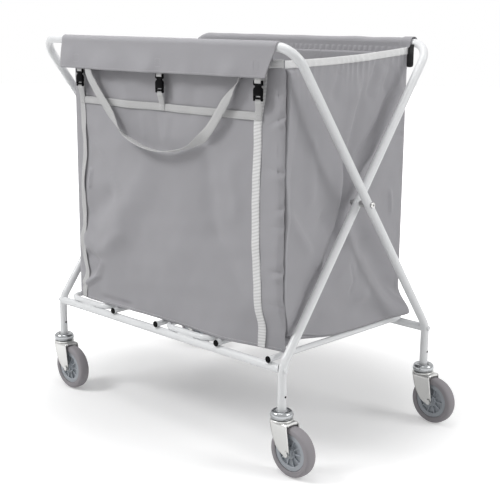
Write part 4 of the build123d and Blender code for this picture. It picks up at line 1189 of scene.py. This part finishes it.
class TROLLEY_OT_casters(TrolleyStep, bpy.types.Operator):
    """Turns the swivel cups, presses the forks and fills the wheels' webs"""

    bl_idname = "trolley.casters"
    bl_label = "Casters"

    def execute(self, context):
        plugs = {"inner": [], "outer": []}
        for name in ("fl", "fr", "rl", "rr"):
            head, wheel = middle(f"caster_{name}_head"), middle(f"caster_{name}_tyre")
            x, y = head[:2]
            legs = "inner" if name[0] == "f" else "outer"
            cup = joined(f"Swivel_cup_{name}", lathe(CUP, (x, y, FOOT_Z)))
            seat(cup, "bright_cup", legs, f"caster_{name}_head")
            plugs[legs].append(self.plug(x, y))
            self.fork(name, x, y)
            web = joined(f"Wheel_web_{name}", lathe(WEB, wheel, "Y"), rounded=False)
            seat(web, "rim_plastic", f"wheel_{name}")
        for legs, made in plugs.items():
            seat(joined(f"Leg_hole_plugs_{legs}", *made), "black_plastic", legs)
        return {"FINISHED"}

    def plug(self, x, y):
        """Black plug in the leg's cross hole, a low dome facing right."""
        turn = np.linspace(0, 2 * math.pi, 20, endpoint=False)[None, ::-1]
        radius, out = np.array(PLUG).T[..., None]
        return skin(grid(x + out, y + radius * np.cos(turn), HOLE_Z + radius * np.sin(turn)))

    def fork(self, name, x, y):
        """Fork pressed from one sheet: up the near side, round a bend over the crown and down the
        far side. Its front and back edges follow the height, and the crown's back is an arc about
        the swivel. A lip turns down in front, and a dished ring stands on top."""
        shoulder, inside = FORK_TOP - FORK_BEND, FORK_BEND - FORK_SIDE
        leg = np.linspace(FORK_FOOT, shoulder, 22)
        turn = np.linspace(0, math.pi / 2, 8)[1:]
        crown = np.linspace(inside, 0, 7)[1:]
        half_y = [np.full(len(leg), -FORK_SIDE), -FORK_SIDE + FORK_BEND * (1 - np.cos(turn)), crown]
        half_z = [leg, shoulder + FORK_BEND * np.sin(turn), np.full(len(crown), FORK_TOP)]
        half_y, half_z = np.concatenate(half_y), np.concatenate(half_z)
        py, pz = np.concatenate([half_y, -half_y[-2::-1]]), np.concatenate([half_z, half_z[-2::-1]])
        py, pz = py[:, None], pz[:, None]
        back = np.interp(pz, *np.array(FORK_BACK).T)
        back = np.where(pz > shoulder, -np.sqrt(CROWN_R**2 - py**2), back)
        fore = np.interp(pz, *np.array(FORK_FORE).T)
        points = grid(x + back + (fore - back) * np.linspace(1, 0, 16)[None, :], y + py, pz)
        piece = thicken(sheet_mesh(f"Caster_fork_{name}", points, points[..., :2]), FORK_T * MM)
        seat(piece, "zinc_steel", f"swivel_{name}", f"caster_{name}_fork")
        lip_x, lip_z = np.array(LIP).T[:, None]
        lip = skin(grid(x + lip_x, y + np.linspace(17.5, -17.5, 9)[:, None], lip_z + FORK_TOP))
        piece = joined(f"Fork_race_and_lip_{name}", lathe(RACE, (x, y, FORK_TOP)), lip)
        seat(piece, "zinc_steel", f"swivel_{name}")


# knots of the handle's line, from end to end: x, distance behind the plane where it is sewn, z
HANDLE = (
    (-256, 0, 962), (-256, 0, 929), (-228, 0.5, 888), (-182, 1, 840), (-157, 1.5, 813), (-124, 2, 779),
    (-70, 2.5, 755), (-4, 3, 741), (28, 3, 740), (91, 3, 748), (142, 3, 763), (201, 3, 802), (234, 4, 841),
    (259, 6, 876), (286, 9.5, 912), (302, 11.5, 936), (303, 11.5, 960),
)


class TROLLEY_OT_handle(TrolleyStep, bpy.types.Operator):
    """Hangs the carrying handle from the flap and the hook tape from the rear sleeve"""

    bl_idname = "trolley.handle"
    bl_label = "Handle and hook strap"

    def execute(self, context):
        piece = joined("Carry_handle_webbing", self.handle())
        seat(piece, "webbing", "front_panel", "carry_handle", "soft_webbing")
        lo, hi = span("hook_strap_rear")
        drop = np.linspace(BAR_Z - 3, lo[2] - 3, 34)
        line = grid((lo[0] + hi[0]) / 2 + 6.0, -BAR_Y - BAR_R - 1.0, drop)
        piece = joined("Hook_strap_webbing", self.rounded(line, hi[0] - lo[0] - 1.0))
        seat(piece, "hook_tape", "rear_panel", "hook_strap_rear")
        return {"FINISHED"}

    def handle(self):
        """Tape whose face looks forward at both ends, and that is turned back on the lower loop
        and forward again on the last stretch."""
        line = curve_through(np.array(HANDLE) + (0, SEWN_Y, 0), 150)
        square = unit(np.cross(unit(np.gradient(line, axis=0)), FRONT))
        t = lengths(line, 0) / lengths(line, 0)[-1]
        turn = math.radians(-84) * smooth((t - 0.2) / 0.17) * smooth((0.77 - t) / 0.13)
        turn = turn + math.radians(56) * smooth((t - 0.86) / 0.1)
        across = np.cos(turn)[:, None] * square - np.sin(turn)[:, None] * np.array(REAR)
        return tape(line, across, thickness=1.7)

    def rounded(self, line, width):
        """Tape whose last 8 mm narrow along a quarter circle at each side."""
        rings, quads, ends, uv = tape(line, RIGHT, width, thickness=2.0)
        run = lengths(line, 0)
        left = np.clip(1 - (run[-1] - run) / 8.0, 0, 1)
        narrow = 1 - 0.6 * (1 - np.sqrt(1 - left**2))
        shape = rings.reshape(len(line), -1, 3)
        centre = line[:, :1]
        shape[..., 0] = centre + (shape[..., 0] - centre) * narrow[:, None]
        return shape.reshape(-1, 3), quads, ends, uv


# stitched boxes on the flap: middle, width, lower and upper edge
FLAP_BOXES = ((-302.5, 23, 951, 971), (31, 18, 951, 971), (368, 16, 954, 977))


class TROLLEY_OT_stitching(TrolleyStep, bpy.types.Operator):
    """Sews the hems, the binding, the webbing and the reinforcing boxes"""

    bl_idname = "trolley.stitching"
    bl_label = "Stitching"

    def execute(self, context):
        draw_in(self.sew("Bag_stitching", self.bag_rows(), "bag", "thread"))
        self.sew("Flap_stitching", self.flap_rows(), "front_panel", "grey_thread")
        self.sew("Sleeve_stitching", self.sleeve_rows(), "rear_panel", "grey_thread")
        return {"FINISHED"}

    def bag_rows(self):
        """Both faces of the side walls' binding, both edges of the strips and of the band, the
        crossed boxes under the buckles, and the front wall's lower hem."""
        s = np.linspace(0.004, 0.996, 400)
        rows = []
        for right, out in ((True, 1.0), (False, -1.0)):
            x, y, z = side_wall(s, (right_top if right else left_top)(s) - 15.0, right)
            rows += [(grid(x + face * 2.2, y, z), (face, 0, 0)) for face in (out, -out)]
        z = np.linspace(LOW_Z + 3, 930, 260)
        turn = strip_turn(z)
        for edge in (-11.0, 11.0):
            left = on_front(curve_at(z, LEFT_STRIP), z, 2.3 + 4 * turn) + grid(edge, -edge * turn, 0)
            rows += [(left, FRONT), (on_front(curve_at(z, RIGHT_STRIP) + edge, z, 2.5), FRONT)]
        x = np.linspace(BUCKLE_X[0] - 23, BUCKLE_X[2] - 7, 300)
        rows += [(on_front(x, BAND_Z + edge, 4.0), FRONT) for edge in (-7.5, 7.5)]
        for at, aside in zip(BUCKLE_X, STRAP_ASIDE):
            sides = self.box(at + aside, BAND_Z - 1, 17, 12, cross=True)
            rows += [(on_front(x, z, 5.7), FRONT) for x, z in sides]
        rows.append((on_front(np.linspace(LEFT_FRONT_X + 4, 404, 300), LOW_Z + 7, 0.8), FRONT))
        return rows

    def flap_rows(self):
        """The flap's hem, and a box over each end of the handle and over the right strip."""
        x = np.linspace(-369, 396, 320)
        z = flap_hem(x) + 5
        rows = [(grid(x, flap_front(x, z) - 0.6, z), FRONT)]
        for at, wide, low, high in FLAP_BOXES:
            for x, z in self.box(at, (low + high) / 2, wide, high - low):
                rows.append((grid(x, flap_front(x, z) - 0.75, z), FRONT))
        return rows

    def sleeve_rows(self):
        """Three rows under the rear bar, on both faces of the sleeve."""
        x, bar = np.linspace(-384, 362, 320), -BAR_Y - BAR_R
        faces = ((-1.9, FRONT), (-0.35, REAR))
        return [(grid(x, bar + off, z), out) for z in (986.0, 967.0, 962.5) for off, out in faces]

    def box(self, x, z, wide, high, cross=False):
        """Sides of a stitched box, and its diagonals where it is crossed, each as the x and z of
        points along it."""
        w, h = wide / 2, high / 2
        a, b, c, d = (x - w, z - h), (x + w, z - h), (x + w, z + h), (x - w, z + h)
        sides = [(a, b), (b, c), (c, d), (d, a)] + ([(a, c), (b, d)] if cross else [])
        return [np.linspace(start, end, 12).T for start, end in sides]

    def sew(self, name, rows, body, thread):
        """One piece of all the stitches that ride on a body."""
        pitch = bpy.context.scene.trolley_cloth.stitch / MM
        return seat(stitches(name, rows, pitch), "white_tape", body, kind=thread)


class TROLLEY_OT_studio(TrolleyStep, bpy.types.Operator):
    """Sets the pale floor, the soft light and the camera"""

    bl_idname = "trolley.studio"
    bl_label = "Studio"

    def execute(self, context):
        scene, studio = context.scene, context.scene.trolley_studio
        scene.view_settings.view_transform = "Standard"
        # a wide disc just under the tyres
        r = np.linspace(0, 14.0, 8)[:, None]
        a = np.linspace(0, 2 * math.pi, 49)[None, :]
        points = grid(r * np.cos(a), r * np.sin(a), -0.0005) / MM
        floor = sheet_mesh("Studio_floor", points, points[..., :2])
        floor.data.materials.append(self.floor_with_painted_glow(studio))
        self.surroundings(scene, studio)
        for name, where, width, power in (
            ("Side_lamp", (5.2, 2.2, 4.2), 2.6, studio.lamp),
            ("Top_lamp", (0.1, -0.45, 3.2), 1.5, studio.top),
            ("Front_lamp", (-1.9, -2.8, 3.7), 1.3, studio.fill),
        ):
            self.lamp(scene, name, where, width, power)
        self.camera(scene)
        return {"FINISHED"}

    def lamp(self, scene, name, where, width, power):
        """Square soft lamp turned towards the bag."""
        light = bpy.data.lights.new(name, "AREA")
        light.shape, light.size, light.energy = "SQUARE", width, power
        holder = bpy.data.objects.new(name, light)
        holder.location = where
        aim = Vector((0.0, 0.0, 0.5)) - holder.location
        holder.rotation_euler = aim.to_track_quat("-Z", "Y").to_euler()
        scene.collection.objects.link(holder)

    def seen(self, tree):
        """1 where a ray comes from the camera, a reflection or glass."""
        path = place(tree, "ShaderNodeLightPath").outputs
        seen = calc(tree, "MAXIMUM", path["Is Camera Ray"], path["Is Glossy Ray"])
        return calc(tree, "MAXIMUM", seen, path["Is Transmission Ray"])

    def floor_with_painted_glow(self, studio):
        """Pale matt floor whose colour turns to plain white away from the trolley, only where it is
            seen and not in the light that it throws. That white is a painted glow, which covers the
            cast shadows away from the trolley."""
        material = bpy.data.materials.new("Studio_floor")
        material.use_nodes = True
        tree = material.node_tree
        principled = tree.nodes["Principled BSDF"].inputs
        principled["Roughness"].default_value = 0.9
        principled["Specular IOR Level"].default_value = 0.0
        principled["Emission Color"].default_value = (1, 1, 1, 1)
        vector = place(tree, "ShaderNodeTexCoord").outputs["Object"]
        tone = calc(tree, "MULTIPLY_ADD", noise(tree, vector, 3.0), 0.01, 0.995)
        tree.links.new(shade(tree, (*studio.floor,), tone), principled["Base Color"])
        reach = place(tree, "ShaderNodeVectorMath", {0: vector}, operation="LENGTH").outputs["Value"]
        # painted light: the glow grows from the lift at 0.4 m to white at 1.1 m and covers the cast shadows
        # there
        limits = {0: reach, 1: 0.4, 2: 1.1, 3: studio.lift, 4: 1.0}
        far = place(tree, "ShaderNodeMapRange", limits, interpolation_type="SMOOTHSTEP").outputs[0]
        tree.links.new(calc(tree, "MULTIPLY", self.seen(tree), far), principled["Emission Strength"])
        return material

    def surroundings(self, scene, studio):
        """Even light from all sides, white where it is seen."""
        world = bpy.data.worlds.new("Studio")
        scene.world = world
        world.use_nodes = True
        tree = world.node_tree
        light = tree.nodes["Background"]
        light.inputs[0].default_value = (1, 1, 1, 1)
        light.inputs[1].default_value = studio.sky
        white = place(tree, "ShaderNodeBackground", {0: (1, 1, 1, 1), 1: 1.0})
        mix = place(tree, "ShaderNodeMixShader", {0: self.seen(tree)})
        tree.links.new(light.outputs[0], mix.inputs[1])
        tree.links.new(white.outputs[0], mix.inputs[2])
        tree.links.new(mix.outputs[0], tree.nodes["World Output"].inputs[0])


    def camera(self, scene):
        """Camera about as high as the bag's rim, in front of the right-hand corner."""
        yaw, pitch, roll = -0.7727, 0.2197, 0.0079
        ahead = Vector((math.sin(yaw) * math.cos(pitch), math.cos(yaw) * math.cos(pitch), -math.sin(pitch)))
        level = Vector((math.cos(yaw), -math.sin(yaw), 0))
        up = level.cross(ahead)
        right = math.cos(roll) * level + math.sin(roll) * up
        above = math.cos(roll) * up - math.sin(roll) * level
        data = bpy.data.cameras.new("Camera")
        data.lens, data.sensor_width = 75.95, 36.0
        camera = bpy.data.objects.new("Camera", data)
        turn = Matrix((right, above, -ahead)).transposed().to_4x4()
        camera.matrix_world = Matrix.Translation((2.0388, -2.0215, 1.0784)) @ turn
        scene.collection.objects.link(camera)
        scene.camera = camera


class TROLLEY_PT_panel(bpy.types.Panel):
    """Sizes, colours and steps of the trolley"""

    bl_label = "Linen trolley"
    bl_space_type = "VIEW_3D"
    bl_region_type = "UI"
    bl_category = "Trolley"

    def draw(self, context):
        scene = context.scene
        for group in (scene.trolley_cloth, scene.trolley_hardware, scene.trolley_studio):
            column = self.layout.box().column()
            for key in group.__annotations__:
                column.prop(group, key)
        for step in STEPS:
            self.layout.operator(step.bl_idname)


STEPS = (
    TROLLEY_OT_finishes,
    TROLLEY_OT_bag,
    TROLLEY_OT_binding,
    TROLLEY_OT_flap,
    TROLLEY_OT_webbing,
    TROLLEY_OT_buckles,
    TROLLEY_OT_casters,
    TROLLEY_OT_handle,
    TROLLEY_OT_stitching,
    TROLLEY_OT_studio,
)
CLASSES = (TrolleyCloth, TrolleyHardware, TrolleyStudio, *STEPS, TROLLEY_PT_panel)


def register():
    """Adds the classes, and the settings to the scene."""
    for cls in CLASSES:
        bpy.utils.register_class(cls)
    bpy.types.Scene.trolley_cloth = PointerProperty(type=TrolleyCloth)
    bpy.types.Scene.trolley_hardware = PointerProperty(type=TrolleyHardware)
    bpy.types.Scene.trolley_studio = PointerProperty(type=TrolleyStudio)


def unregister():
    """Takes the settings and the classes away again."""
    del bpy.types.Scene.trolley_studio
    del bpy.types.Scene.trolley_hardware
    del bpy.types.Scene.trolley_cloth
    for cls in reversed(CLASSES):
        bpy.utils.unregister_class(cls)


def main():
    """Runs every step in order."""
    register()
    for step in STEPS:
        group, name = step.bl_idname.split(".")
        getattr(getattr(bpy.ops, group), name)()


if __name__ == "__main__":
    main()
